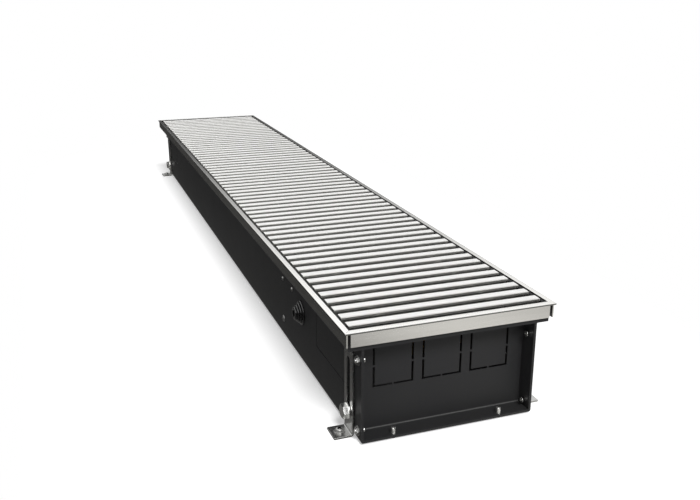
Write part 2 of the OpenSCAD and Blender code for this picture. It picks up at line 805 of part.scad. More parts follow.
module bracket_bolts() {
    head_y = washer_in_y + bolt_washer_t;
    color(zinc) both_ends() both_sides() {
        hex_y(bracket_x, head_y, head_y + bolt_head_h, bolt_z, bolt_af);
        bar_y(bracket_x, wall_in_y - bolt_nut_h - bolt_washer_t, head_y, bolt_z, bolt_d);
    }
}

module bracket_washers() {
    color(zinc) both_ends() both_sides() difference() {
        bar_y(bracket_x, washer_in_y, washer_in_y + bolt_washer_t, bolt_z, bolt_washer_d);
        bar_y(bracket_x, wall_y, washer_in_y + bolt_washer_t + over, bolt_z, bolt_d + 2 * seat_gap);
    }
}

module bracket_nuts() {
    color(zinc) both_ends() both_sides() difference() {
        hex_y(bracket_x, wall_in_y - bolt_nut_h, wall_in_y, bolt_z, bolt_af);
        bar_y(bracket_x, wall_in_y - bolt_nut_h - over, wall_in_y + over, bolt_z, bolt_d);
    }
}

// Levelling and coupling screws

module levelling_screw() {
    slot_w_share = 0.24;
    slot_h_share = 0.3;
    z1 = floor_z + sheet_t + level_stand;
    color(zinc) translate([level_x, level_spacing / 2, 0]) difference() {
        cylinder(h = z1, d = level_d);
        translate([-level_d, -level_d * slot_w_share / 2, z1 - level_d * slot_h_share])
            cube([2 * level_d, level_d * slot_w_share, level_d]);
    }
}

module levelling_screw_near_right() { levelling_screw(); }
module levelling_screw_near_left() { mirror([0, 1, 0]) levelling_screw(); }
module levelling_screw_far_right() { mirror([1, 0, 0]) levelling_screw(); }
module levelling_screw_far_left() { mirror([1, 0, 0]) mirror([0, 1, 0]) levelling_screw(); }

// Draws its children, made for the right side at the coupling end, at all eight coupling screws
module at_coupling_screws() {
    both_ends() both_sides() for (z = couple_zs) translate([couple_x, 0, z]) children();
}

module coupling_screws() {
    cone_h = (couple_head_d - couple_d) / 2;
    tip_y = wall_y + couple_washer_t + couple_nut_h + couple_d / 4;
    head_y = couple_in_y - couple_stand;
    color(zinc) at_coupling_screws() difference() {
        union() {
            bar_y(0, head_y, tip_y, 0, couple_d);
            translate([0, head_y + cone_h, 0]) rotate([90, 0, 0])
                cylinder(h = cone_h, d1 = couple_d, d2 = couple_head_d);
        }
        translate([0, head_y + cone_h / 2, 0]) rotate([90, 0, 0]) cross_recess(couple_head_d, cone_h);
    }
}

module coupling_washers() {
    color(zinc) at_coupling_screws() difference() {
        bar_y(0, wall_y, wall_y + couple_washer_t, 0, couple_washer_d);
        bar_y(0, wall_y - over, wall_y + couple_washer_t + over, 0, couple_d + 2 * seat_gap);
    }
}

module coupling_nuts() {
    y0 = wall_y + couple_washer_t;
    color(zinc) at_coupling_screws() difference() {
        hex_y(0, y0, y0 + couple_nut_h, 0, couple_nut_af);
        bar_y(0, y0 - over, y0 + couple_nut_h + over, 0, couple_d);
    }
}

// Heat exchanger

tube_places = [for (y = [tube_in_y, tube_out_y], z = [fin_z - tube_rise / 2, fin_z + tube_rise / 2]) [y, z]];

module exchanger_fins() {
    color(aluminium) for (i = [0 : fin_count - 1]) {
        x0 = fin_near_x - i * fin_pitch - fin_t;
        difference() {
            block(x0, x0 + fin_t, fin_y - fin_w / 2, fin_y + fin_w / 2, fin_z - fin_h / 2, fin_z + fin_h / 2);
            for (p = tube_places) bar_x(x0 - over, x0 + fin_t + over, p[0], p[1], tube_d);
        }
    }
}

module exchanger_tubes() {
    x0 = exch_far_x - fin_end_gap;
    x1 = manifold_x - manifold_w / 4;
    color(copper) for (p = tube_places) difference() {
        bar_x(x0, x1, p[0], p[1], tube_d);
        bar_x(x0 - over, x1 + over, p[0], p[1], tube_d - 2 * tube_wall);
    }
}

module return_bends() {
    r = tube_span / 2;
    color(copper) for (z = [fin_z - tube_rise / 2, fin_z + tube_rise / 2])
        translate([exch_far_x - fin_end_gap, fin_y, z]) rotate(90) difference() {
            rotate_extrude(angle = 180) translate([r, 0]) circle(d = tube_d);
            rotate_extrude(angle = 180) translate([r, 0]) circle(d = tube_d - 2 * tube_wall);
        }
}

// Brass block on a pair of tubes at y, with a threaded pipe socket towards the end plate
module manifold(y) {
    x0 = manifold_x - manifold_w / 2;
    x1 = manifold_x + manifold_w / 2;
    difference() {
        union() {
            block(x0, x1, y - manifold_w / 2, y + manifold_w / 2, fin_z - manifold_h / 2, fin_z + manifold_h / 2);
            bar_x(x1 - over, x1 + socket_l, y, fin_z, socket_d);
        }
        for (s = [-1, 1]) bar_x(x0 - over, manifold_x - manifold_w / 4, y, fin_z + s * tube_rise / 2, tube_d);
        bar_z(manifold_x, y, fin_z - tube_rise / 2, fin_z + tube_rise / 2, tube_d - 2 * tube_wall);
        bar_x(x1, x1 + socket_l + over, y, fin_z, thread_d);
        bar_x(manifold_x, x1 + over, y, fin_z, tube_d);
    }
}

module supply_manifold() {
    color(brass) manifold(tube_in_y);
}

module return_manifold() {
    z1 = fin_z + manifold_h / 2;
    color(brass) difference() {
        manifold(tube_out_y);
        bar_z(manifold_x, tube_out_y, z1 - vent_d, z1 + over, vent_d);
    }
}

// Slotted screw that lets air out of the return manifold
module air_vent_screw() {
    z1 = fin_z + manifold_h / 2;
    slot_share = 0.2;
    color(brass) difference() {
        bar_z(manifold_x, tube_out_y, z1 - vent_d + slide_gap, z1 + vent_rise, vent_d - 2 * run_gap);
        block(manifold_x - vent_d, manifold_x + vent_d, tube_out_y - vent_d * slot_share / 2,
              tube_out_y + vent_d * slot_share / 2, z1 + vent_rise * (1 - 2 * slot_share), z1 + vent_rise + over);
    }
}

// Folded plates that carry the tubes and stand on the tray floor
module exchanger_brackets() {
    flange = fin_rise + fold_r + sheet_t;
    top_z = fin_z + fin_h / 2;
    y0 = fin_y - fin_w / 2;
    y1 = fin_y + fin_w / 2;
    color(zinc) for (place = [[exch_near_x, 1], [exch_far_x, -1]])
        translate([place[0], 0, 0]) scale([place[1], 1, 1]) difference() {
            along_y(y0, y1) polygon(sheet_outline(
                [[-sheet_t / 2 + flange, floor_z + sheet_t / 2], [-sheet_t / 2, floor_z + sheet_t / 2],
                 [-sheet_t / 2, top_z]], sheet_t, fold_r));
            for (p = tube_places) bar_x(-sheet_t - over, over, p[0], p[1], tube_d + 2 * seat_gap);
        }
}

// Fan

module fan_impeller() {
    blade_lean = 35;
    disc_step = (impeller_near_x - impeller_far_x - disc_t) / (fan_discs - 1);
    ring_r = (fan_d - blade_depth) / 2;
    color(plastic) difference() {
        union() {
            for (i = [0 : fan_discs - 1]) {
                x0 = impeller_far_x + i * disc_step;
                bar_x(x0, x0 + disc_t, fan_y, fan_z, fan_d - blade_t);
            }
            along_x(impeller_far_x, impeller_near_x) translate([fan_y, fan_z])
                for (i = [0 : fan_blades - 1]) rotate(i * 360 / fan_blades) translate([ring_r, 0])
                    rotate(blade_lean) translate([-blade_depth / 2, -blade_t / 2]) square([blade_depth, blade_t]);
        }
        bar_x(impeller_far_x - over, impeller_near_x + over, fan_y, fan_z, shaft_d);
    }
}

module fan_shaft() {
    color(zinc) bar_x(fan_far_x - boss_d / 2, fan_near_x + boss_d / 2, fan_y, fan_z, shaft_d);
}

module fan_motor() {
    x1 = fan_near_x + motor_l;
    cap_l = motor_l / 8;
    color(steel_black) difference() {
        union() {
            bar_x(fan_near_x, x1 - cap_l, fan_y, fan_z, motor_d);
            bar_x(x1 - cap_l - over, x1, fan_y, fan_z, motor_d - cap_l);
            bar_x(fan_near_x - fan_plate_t, fan_near_x + over, fan_y, fan_z, boss_d);
        }
        bar_x(fan_near_x - fan_plate_t - over, fan_near_x + boss_d, fan_y, fan_z, shaft_d + 2 * run_gap);
    }
}

module fan_bearing_bush() {
    color(rubber) difference() {
        union() {
            bar_x(fan_far_x - boss_d / 4, fan_far_x, fan_y, fan_z, collar_d);
            bar_x(fan_far_x - over, fan_far_x + fan_plate_t, fan_y, fan_z, boss_d);
        }
        bar_x(fan_far_x - boss_d, fan_far_x + boss_d, fan_y, fan_z, shaft_d + 2 * run_gap);
    }
}

// Scroll behind and under the impeller with its outlet plate, and the tongue above the outlet
module fan_housing() {
    back_from = 115;
    back_to = 270;
    tongue_at = 50;
    out_y = fin_y - fin_w / 2 - seat_gap;
    bottom_z = fan_z - housing_r - housing_t;
    tongue_y = fan_y + housing_r * cos(tongue_at);
    tongue_z = fan_z + housing_r * sin(tongue_at);
    color(zinc) along_x(fan_far_x + fan_plate_t, fan_near_x - fan_plate_t) {
        translate([fan_y, fan_z])
            polygon(arc_band(housing_r, housing_r + housing_t, back_from, back_to, 4 * fold_steps));
        translate([fan_y, bottom_z]) square([out_y - fan_y, housing_t]);
        polygon(sheet_outline([[tongue_y, tongue_z - fan_gap / 2], [tongue_y, tongue_z],
                               [out_y, fin_z + fin_h / 2]], housing_t, fold_r));
    }
}

// Folded cheeks that carry the housing, the motor and the bush, and stand on the tray floor
module fan_end_plates() {
    flange = fan_rise + boss_d / 2;
    top_z = fan_z + housing_r + housing_t;
    y0 = fan_y - housing_r - housing_t;
    y1 = fin_y - fin_w / 2 - 2 * seat_gap;
    t = fan_plate_t;
    color(zinc) for (place = [[fan_near_x, 1], [fan_far_x, -1]])
        translate([place[0], 0, 0]) scale([place[1], 1, 1]) difference() {
            along_y(y0, y1) polygon(sheet_outline(
                [[-t / 2 + flange, floor_z + t / 2], [-t / 2, floor_z + t / 2], [-t / 2, top_z]], t, fold_r));
            bar_x(-t - over, over, fan_y, fan_z, boss_d + 2 * seat_gap);
        }
}

// Electrics

// Holes of the screws that hold the terminal box to the wall, from y0 to y1
module box_screw_holes(y0, y1) {
    for (share = concat(box_screw_shares, [earth_screw_share]))
        bar_y(box_near_x - box_l * share[0], y0, y1, box_z + box_h * share[1], box_screw_d);
}

module terminal_box() {
    z1 = box_z + box_h;
    y0 = -box_y;
    y1 = y0 + box_w;
    color(plastic) difference() {
        union() {
            difference() {
                block(box_far_x, box_near_x, y0, y1, box_z, z1);
                block(box_far_x + box_t, box_near_x - box_t, y0 + box_t, y1 - box_t, box_z + box_t, z1 + over);
            }
            for (x = lid_screw_xs) block(x - post_w / 2, x + post_w / 2, y1 - post_w, y1, z1 - 2 * box_screw_l, z1);
        }
        bar_y(grommet_x, y0 - over, y0 + box_t + over, grommet_z, grommet_flange_d + 2 * seat_gap);
        bar_x(box_far_x - over, box_far_x + box_t + over, cable_y, cable_z, cable_d + 2 * seat_gap);
        box_screw_holes(y0 - over, y0 + box_t + over);
        for (x = lid_screw_xs) bar_z(x, post_y, z1 - box_screw_l, z1 + over, box_screw_d);
    }
}

module terminal_box_lid() {
    z1 = box_z + box_h;
    color(plastic) difference() {
        block(box_far_x, box_near_x, -box_y, -box_y + box_w, z1, z1 + box_t);
        for (x = lid_screw_xs) bar_z(x, post_y, z1 - over, z1 + box_t + over, box_screw_d);
    }
}

// Screw through z = 0 with its head above it
module small_screw(head_d) {
    screw_head(head_d, box_head_h);
    translate([0, 0, -box_screw_l]) cylinder(h = box_screw_l, d = box_screw_d);
}

module lid_screws() {
    color(zinc) for (x = lid_screw_xs)
        translate([x, post_y, box_z + box_h + box_t]) small_screw(box_head_d);
}

module box_screws() {
    heads = [for (share = box_screw_shares) [share, box_head_d]];
    color(zinc) for (h = concat(heads, [[earth_screw_share, earth_head_d]]))
        translate([box_near_x - box_l * h[0][0], -wall_y, box_z + box_h * h[0][1]]) rotate([90, 0, 0])
            small_screw(h[1]);
}

// Row of screw terminals on the floor of the box
module terminal_block() {
    x0 = (box_far_x + box_near_x - poles * pole_w) / 2;
    y0 = -box_y + (box_w - block_w) / 2;
    z0 = box_z + box_t;
    z1 = z0 + block_h;
    color(block_white) difference() {
        block(x0, x0 + poles * pole_w, y0, y0 + block_w, z0, z1);
        for (i = [0 : poles - 1], y = [y0 + block_w / 4, y0 + block_w * 3 / 4])
            bar_z(x0 + i * pole_w + pole_w / 2, y, z1 - block_h / 2, z1 + over, pole_w / 2);
        for (i = [1 : poles - 1])
            block(x0 + i * pole_w - pole_w / 32, x0 + i * pole_w + pole_w / 32, y0 - over, y0 + block_w + over,
                  z1 - block_h / 4, z1 + over);
    }
}

module motor_cable() {
    inner_l = box_l / 8;
    color(rubber) {
        bar_x(fan_near_x + motor_l, box_far_x + inner_l, cable_y, cable_z, cable_d);
        bar_x(fan_near_x + motor_l, fan_near_x + motor_l + cable_d, cable_y, cable_z, gland_d);
    }
}

// Stepped cone, hollow from the inside, with a groove round the edge of its hole in the wall
module cable_grommet() {
    skin = (grommet_tip_d - cable_hole_d) / 2;
    step_h = grommet_h / grommet_steps;
    outer_rs = [for (i = [0 : grommet_steps - 1]) grommet_d / 2 - i * grommet_step];
    inner_rs = [for (r = outer_rs) max(r - grommet_step - skin, cable_hole_d / 2)];
    flange = [
        [inner_rs[0], -2 * sheet_t], [grommet_flange_d / 2, -2 * sheet_t],
        [grommet_flange_d / 2, -sheet_t], [outer_rs[1], -sheet_t], [outer_rs[1], 0]
    ];
    outer = [for (i = [0 : grommet_steps - 1]) each [[outer_rs[i], i * step_h], [outer_rs[i], (i + 1) * step_h]]];
    widens = [for (i = [grommet_steps - 1 : -1 : 1]) if (inner_rs[i] < inner_rs[i - 1]) i];
    inner = [for (i = widens) each [[inner_rs[i], i * step_h], [inner_rs[i - 1], i * step_h]]];
    color(rubber) translate([grommet_x, -wall_y, grommet_z]) rotate([90, 0, 0])
        rotate_extrude() polygon(concat(flange, outer, [[cable_hole_d / 2, grommet_h]], inner));
}

tray();
near_end_plate();
far_end_plate();
damping_strips();
frame_left();
frame_right();
frame_near_end();
frame_far_end();
frame_corner_keys();
grille_slats();
grille_spacers();
grille_springs();
roll_slat_1();
roll_slat_2();
roll_slat_3();
roll_slat_4();
roll_slat_5();
roll_slat_6();
roll_slat_7();
roll_slat_8();
foot_bracket_near_left();
foot_bracket_near_right();
foot_bracket_far_left();
foot_bracket_far_right();
floor_screw_near_left();
floor_screw_near_right();
floor_screw_far_left();
floor_screw_far_right();
bracket_bolts();
bracket_washers();
bracket_nuts();
levelling_screw_near_left();
levelling_screw_near_right();
levelling_screw_far_left();
levelling_screw_far_right();
coupling_screws();
coupling_washers();
coupling_nuts();
exchanger_fins();
exchanger_tubes();
return_bends();
supply_manifold();
return_manifold();
air_vent_screw();
exchanger_brackets();
fan_impeller();
fan_shaft();
fan_motor();
fan_bearing_bush();
fan_housing();
fan_end_plates();
terminal_box();
terminal_box_lid();
lid_screws();
terminal_block();
motor_cable();
cable_grommet();
box_screws();
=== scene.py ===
# %% [markdown]
# # A trench convector heater
#
# The object lies in a channel in the floor: a folded steel tray that holds a heat exchanger and
# a fan, with an aluminium frame and a roll-up grille on top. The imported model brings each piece
# at its real size and place. This lesson gives the pieces their finish, and rebuilds those whose
# rounded edges, chamfers and threads catch the light.

import json
import math

import bmesh
import bpy
from mathutils import Matrix, Vector

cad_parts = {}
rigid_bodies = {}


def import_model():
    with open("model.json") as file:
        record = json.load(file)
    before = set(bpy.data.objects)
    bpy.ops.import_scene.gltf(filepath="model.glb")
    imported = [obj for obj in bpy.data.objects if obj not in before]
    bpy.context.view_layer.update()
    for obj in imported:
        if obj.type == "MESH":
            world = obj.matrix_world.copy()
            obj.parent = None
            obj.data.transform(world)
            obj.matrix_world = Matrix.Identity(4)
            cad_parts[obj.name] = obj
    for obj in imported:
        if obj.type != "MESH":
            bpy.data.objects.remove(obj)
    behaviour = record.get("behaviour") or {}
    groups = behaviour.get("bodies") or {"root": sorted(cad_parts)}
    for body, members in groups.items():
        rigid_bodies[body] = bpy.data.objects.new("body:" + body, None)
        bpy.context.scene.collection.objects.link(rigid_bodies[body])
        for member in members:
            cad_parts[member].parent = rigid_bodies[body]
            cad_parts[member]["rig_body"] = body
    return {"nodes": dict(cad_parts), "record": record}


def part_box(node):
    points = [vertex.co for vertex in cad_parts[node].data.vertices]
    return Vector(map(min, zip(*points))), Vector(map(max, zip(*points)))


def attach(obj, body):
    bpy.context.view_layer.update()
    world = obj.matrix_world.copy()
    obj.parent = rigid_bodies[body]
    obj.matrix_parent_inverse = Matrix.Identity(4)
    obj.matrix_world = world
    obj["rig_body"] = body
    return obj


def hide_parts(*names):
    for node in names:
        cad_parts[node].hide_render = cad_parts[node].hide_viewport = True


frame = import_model()
nodes = frame["nodes"]
for name in ("Cube", "Light", "Camera"):
    if name in bpy.data.objects:
        bpy.data.objects.remove(bpy.data.objects[name])
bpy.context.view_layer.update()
mm = 0.001

# %% [markdown]
# ## Camera
#
# A long object that is seen from near its end shows strong perspective, so the camera stands
# close: a little past the near end, left of the tray and above it. Its place is counted from
# the frame's near left corner, and a lens of 42 mm gives the same field as the picture.

# %% Camera
LENS_MM = 42.23
TURN = math.radians(70.1)
TILT = math.radians(18.1)
FAR_CLIP = 60
CAMERA_FROM_CORNER = Vector((622.9, -220.9, 293.7)) * mm
frame_low, frame_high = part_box("frame_left")
near_left_corner = Vector((frame_high.x, frame_low.y, frame_high.z))

camera_data = bpy.data.cameras.new("camera")
camera_data.lens = LENS_MM
camera_data.clip_end = FAR_CLIP
camera = bpy.data.objects.new("camera", camera_data)
camera.location = near_left_corner + CAMERA_FROM_CORNER
camera.rotation_euler = (math.pi / 2 - TILT, 0, TURN)
bpy.context.scene.collection.objects.link(camera)
bpy.context.scene.camera = camera
print("camera at", [round(v, 4) for v in camera.location])

# %% [markdown]
# ## Node helpers
#
# Every finish is a small tree of shader nodes. These helpers add one node each, so that a
# finish reads as a list of what it is made of. A constant is typed straight into the socket.


# %% Node helpers
def feed(tree, socket, value):
    """Links another node's output to a socket, or types a constant into it."""
    if isinstance(value, bpy.types.NodeSocket):
        tree.links.new(value, socket)
    else:
        socket.default_value = value


def add(tree, kind, **inputs):
    """Adds a node and feeds the inputs that are named, with underscores for spaces."""
    node = tree.nodes.new(kind)
    for key, value in inputs.items():
        feed(tree, node.inputs[key.replace("_", " ")], value)
    return node


def between(tree, value, low, high, from_low=0.0, from_high=1.0, smooth=False):
    """Moves a value from one range to another, held at both ends."""
    node = add(tree, "ShaderNodeMapRange", Value=value, From_Min=from_low, From_Max=from_high,
               To_Min=low, To_Max=high)
    node.interpolation_type = "SMOOTHSTEP" if smooth else "LINEAR"
    return node.outputs["Result"]


def calculate(tree, operation, a, b=0.0):
    """Does one sum with numbers."""
    node = tree.nodes.new("ShaderNodeMath")
    node.operation = operation
    feed(tree, node.inputs[0], a)
    feed(tree, node.inputs[1], b)
    return node.outputs["Value"]


def calculate_vector(tree, operation, a, b):
    """Does one sum with directions or colours."""
    node = tree.nodes.new("ShaderNodeVectorMath")
    node.operation = operation
    feed(tree, node.inputs[0], a)
    feed(tree, node.inputs["Scale" if operation == "SCALE" else 1], b)
    return node.outputs["Value" if operation == "DOT_PRODUCT" else "Vector"]


def part_of(tree, vector, axis):
    """One of a vector's three numbers."""
    return add(tree, "ShaderNodeSeparateXYZ", Vector=vector).outputs[axis]


def blend(tree, first, second, share):
    """Two values mixed: a share of the first, and the rest of the second."""
    return calculate(tree, "ADD", calculate(tree, "MULTIPLY", first, share),
                     calculate(tree, "MULTIPLY", second, 1 - share))


print("helpers for numbers ready")

# %% [markdown]
# Colours and shaders are mixed by nodes of their own. The Mix node keeps a set of sockets for each
# kind of data, all under the same names, so those for colours are picked by number. Patterns read
# Object coordinates, which stay with the piece when its joint moves.

# %% Colour, shader and pattern helpers
MIX_COLOR_INPUTS = (0, 6, 7)
MIX_COLOR_OUTPUT = 2
MOST_NOISE = (0.3, 0.7)


def mix_colors(tree, factor, first, second):
    node = tree.nodes.new("ShaderNodeMix")
    node.data_type = "RGBA"
    for index, value in zip(MIX_COLOR_INPUTS, (factor, first, second)):
        feed(tree, node.inputs[index], (*value, 1.0) if isinstance(value, tuple) else value)
    return node.outputs[MIX_COLOR_OUTPUT]


def mix_shaders(tree, factor, first, second):
    node = tree.nodes.new("ShaderNodeMixShader")
    for socket, value in zip(node.inputs, (factor, first, second)):
        feed(tree, socket, value)
    return node.outputs[0]


def metal_ray(tree):
    """1 where metal or glass looks at the scene, 0 for any other ray."""
    path = tree.nodes.new("ShaderNodeLightPath")
    return calculate(tree, "MAXIMUM", path.outputs["Is Glossy Ray"], path.outputs["Is Transmission Ray"])


def surface_place(tree, stretch=(1, 1, 1)):
    """Object coordinates, stretched along each axis."""
    coordinates = tree.nodes.new("ShaderNodeTexCoord")
    return add(tree, "ShaderNodeMapping", Vector=coordinates.outputs["Object"], Scale=stretch).outputs["Vector"]


def noise(tree, place, scale, detail=2.0, roughness=0.5):
    return add(tree, "ShaderNodeTexNoise", Vector=place, Scale=scale, Detail=detail,
               Roughness=roughness).outputs["Fac"]


def spread_noise(tree, pattern, low, high):
    """Noise keeps near its middle. This spreads where most of it lies from low to high."""
    return between(tree, pattern, low, high, *MOST_NOISE)


def bump(tree, height, distance, strength):
    return add(tree, "ShaderNodeBump", Height=height, Distance=distance, Strength=strength).outputs["Normal"]


def new_material(name, metallic=0.0):
    material = bpy.data.materials.new(name)
    material.use_nodes = True
    shader = material.node_tree.nodes["Principled BSDF"]
    shader.inputs["Metallic"].default_value = metallic
    return material, material.node_tree, shader


print("helpers for colours, shaders and patterns ready")

# %% [markdown]
# ## Studio
#
# The object stands in a white studio. The camera sees pure white all round it, while metal
# should mirror a room with a dark horizon and a bright ceiling, because polished edges only
# look like metal when they have something dark to mirror. Light Path tells the two apart. A
# round window in that room, high beyond the near end, puts a small highlight on every screw head.

# %% World
HORIZON_SINE = 0.155
CEILING_SINE = 0.40
DARK_ROOM = 0.035
CEILING = 1.15
ROOM_LIGHT = 0.24
WINDOW = Vector((0.68, -0.05, 0.73)).normalized()
WINDOW_EDGE = math.cos(math.radians(24))
WINDOW_CORE = math.cos(math.radians(10))
WINDOW_GLOW = 4.0

world = bpy.data.worlds.new("studio")
bpy.context.scene.world = world
world.use_nodes = True
tree = world.node_tree
tree.nodes.clear()
direction = tree.nodes.new("ShaderNodeTexCoord").outputs["Generated"]
room = between(tree, part_of(tree, direction, "Z"), DARK_ROOM, CEILING, HORIZON_SINE, CEILING_SINE, smooth=True)
towards_window = calculate_vector(tree, "DOT_PRODUCT", direction, WINDOW)
glow = between(tree, towards_window, 0.0, WINDOW_GLOW, WINDOW_EDGE, WINDOW_CORE, smooth=True)
mirrored = calculate(tree, "ADD", room, glow)
camera_ray = tree.nodes.new("ShaderNodeLightPath").outputs["Is Camera Ray"]
strength = add(tree, "ShaderNodeMix", Factor=metal_ray(tree), A=ROOM_LIGHT, B=mirrored).outputs["Result"]
strength = add(tree, "ShaderNodeMix", Factor=camera_ray, A=strength, B=1.0).outputs["Result"]
background = add(tree, "ShaderNodeBackground", Color=(1, 1, 1, 1), Strength=strength)
output = tree.nodes.new("ShaderNodeOutputWorld")
tree.links.new(background.outputs[0], output.inputs["Surface"])
print("world: white to the camera,", ROOM_LIGHT, "for soft light")

# %% [markdown]
# The floor is pale and keeps the object's soft shadow. A little emission lifts its lit part to
# white, and further out the emission takes over, so that floor and background are one white.

# %% Floor for the camera
FLOOR_GREY = 0.80
FLOOR_LIFT = 0.37
FADE_FROM = 0.22
FADE_TO = 0.40


def floor_seen(tree, place):
    """A lit floor that fades to plain white as it gets away from the object."""
    lit = add(tree, "ShaderNodeBsdfDiffuse", Color=(FLOOR_GREY,) * 3 + (1,)).outputs[0]
    lift = add(tree, "ShaderNodeEmission", Color=(1, 1, 1, 1), Strength=FLOOR_LIFT).outputs[0]
    lifted = tree.nodes.new("ShaderNodeAddShader")
    tree.links.new(lit, lifted.inputs[0])
    tree.links.new(lift, lifted.inputs[1])
    white = add(tree, "ShaderNodeEmission", Color=(1, 1, 1, 1), Strength=1.0).outputs[0]
    from_middle = calculate(tree, "ABSOLUTE", part_of(tree, place, "X"))
    past_end = calculate(tree, "MAXIMUM", calculate(tree, "SUBTRACT", from_middle, frame_high.x), 0.0)
    sideways = calculate(tree, "ABSOLUTE", part_of(tree, place, "Y"))
    away = calculate(tree, "SQRT", calculate(tree, "ADD", calculate(tree, "POWER", sideways, 2.0),
                                             calculate(tree, "POWER", past_end, 2.0)))
    fade = between(tree, away, 0.0, 1.0, FADE_FROM, FADE_TO, smooth=True)
    return mix_shaders(tree, fade, lifted.outputs[0], white)


print("floor fades to white", FADE_FROM, "to", FADE_TO, "m away")

# %% [markdown]
# In metal the floor is a ramp of warm greys across the tray. It is dark on the left, a painted shadow of the object,
# so that the left skirt and wall stay dark, and brightest at the tray's right side, for the near end's skirt.

# %% Floor in metal
RAMP_FROM = -0.5
RAMP_TO = 0.6
WARMTH = (1, 0.985, 0.95)
# painted shadow of the object on the floor, seen only in metal
SHADOWED_LEFT_GREY = (0.035, 0.035, 0.035, 1)
RIGHT_GREY = (0.50, 0.49, 0.47, 1)
GREYS_BETWEEN = ((0.30, 0.035), (0.36, 0.14), (0.40, 0.29), (0.44, 0.40), (0.48, 0.53),
                 (0.54, 0.66), (0.62, 0.66), (0.70, 0.53))


def floor_in_metal(tree, place):
    ramp = tree.nodes.new("ShaderNodeValToRGB")
    stops = ramp.color_ramp.elements
    stops[0].position, stops[0].color = 0.0, SHADOWED_LEFT_GREY
    stops[1].position, stops[1].color = 1.0, RIGHT_GREY
    for position, tone in GREYS_BETWEEN:
        stops.new(position).color = (*(tone * tint for tint in WARMTH), 1)
    across = between(tree, part_of(tree, place, "Y"), 0.0, 1.0, RAMP_FROM, RAMP_TO)
    tree.links.new(across, ramp.inputs["Fac"])
    return add(tree, "ShaderNodeEmission", Color=ramp.outputs["Color"], Strength=1.0).outputs[0]


print(len(GREYS_BETWEEN) + 2, "greys across the floor")

# %% Floor
FLOOR_SIZE = 60.0

floor_material = bpy.data.materials.new("floor")
floor_material.use_nodes = True
tree = floor_material.node_tree
tree.nodes.clear()
place = tree.nodes.new("ShaderNodeTexCoord").outputs["Object"]
surface = mix_shaders(tree, metal_ray(tree), floor_seen(tree, place), floor_in_metal(tree, place))
output = tree.nodes.new("ShaderNodeOutputMaterial")
tree.links.new(surface, output.inputs["Surface"])

shape = bmesh.new()
bmesh.ops.create_grid(shape, x_segments=1, y_segments=1, size=FLOOR_SIZE / 2)
mesh = bpy.data.meshes.new("floor")
shape.to_mesh(mesh)
shape.free()
mesh.materials.append(floor_material)
floor = bpy.data.objects.new("floor", mesh)
bpy.context.scene.collection.objects.link(floor)
print("floor of", FLOOR_SIZE, "m")

# %% [markdown]
# The key light is a soft sun, high beyond the near end, because a sun lights both ends of a long
# object alike. The shadow falls backwards: it starts a hand's width behind the near end and runs
# as a narrow soft strip along the side. The lamp isn't mirrored, as metal mirrors the room.

# %% Key light
KEY_HEIGHT = math.radians(47)
KEY_TURN = math.radians(-2)
KEY_SOFTNESS = math.radians(21)
KEY_LEVEL = 3.4
KEY_DISTANCE = 3

light_data = bpy.data.lights.new("key", "SUN")
light_data.angle = KEY_SOFTNESS
light_data.energy = KEY_LEVEL
key = bpy.data.objects.new("key", light_data)
key_side = Vector((math.cos(KEY_HEIGHT) * math.cos(KEY_TURN), math.cos(KEY_HEIGHT) * math.sin(KEY_TURN),
                   math.sin(KEY_HEIGHT)))
key.location = key_side * KEY_DISTANCE
key.rotation_euler = (-key_side).to_track_quat("-Z", "Y").to_euler()
key.visible_glossy = False
bpy.context.scene.collection.objects.link(key)
print("key light gives the floor", round(KEY_LEVEL * math.sin(KEY_HEIGHT) / math.pi, 2))

# %% [markdown]
# ## Aluminium
#
# The frame and the slats are extruded aluminium, brushed along their length and anodised. The
# brush marks are noise that is stretched along the grain. They spread each reflection across it,
# so the shader is anisotropic, and its tangent is square to both the grain and the surface. Where
# these two meet head-on the tangent would vanish, so a tiny fixed direction is added to it.

# %% Brush marks
ALONG_X = 0
ALONG_Y = 1
HAIRLINE_SCALE = 3200
HAIRLINE_LENGTH_SCALE = 14
NEVER_ZERO = (0.002, 0.003, 0.001)
BRUSH_SPREAD = 0.6
HAIRLINE_DEPTH = 0.004 * mm


def streaks(tree, grain, across, along, detail=2.0, roughness=0.5):
    """Noise that runs along the grain, with a scale for each direction."""
    stretch = [across] * 3
    stretch[grain] = along
    return noise(tree, surface_place(tree, stretch), 1.0, detail=detail, roughness=roughness)


def across_grain(tree, grain):
    """The direction square to the grain and to the surface, for an object that may be turned."""
    turned_grain = tree.nodes.new("ShaderNodeVectorTransform")
    turned_grain.vector_type = "VECTOR"
    turned_grain.convert_from = "OBJECT"
    turned_grain.convert_to = "WORLD"
    turned_grain.inputs["Vector"].default_value = (1, 0, 0) if grain == ALONG_X else (0, 1, 0)
    normal = tree.nodes.new("ShaderNodeNewGeometry").outputs["Normal"]
    across = calculate_vector(tree, "CROSS_PRODUCT", turned_grain.outputs["Vector"], normal)
    return calculate_vector(tree, "ADD", across, NEVER_ZERO)


def brush(tree, shader, grain):
    """Brushes a shader along its grain, and returns the hairlines for its other sockets."""
    hairlines = streaks(tree, grain, HAIRLINE_SCALE, HAIRLINE_LENGTH_SCALE, detail=3.0, roughness=0.65)
    tree.links.new(bump(tree, hairlines, HAIRLINE_DEPTH, 0.5), shader.inputs["Normal"])
    tree.links.new(across_grain(tree, grain), shader.inputs["Tangent"])
    shader.inputs["Anisotropic"].default_value = BRUSH_SPREAD
    return hairlines


print("brush marks ready")
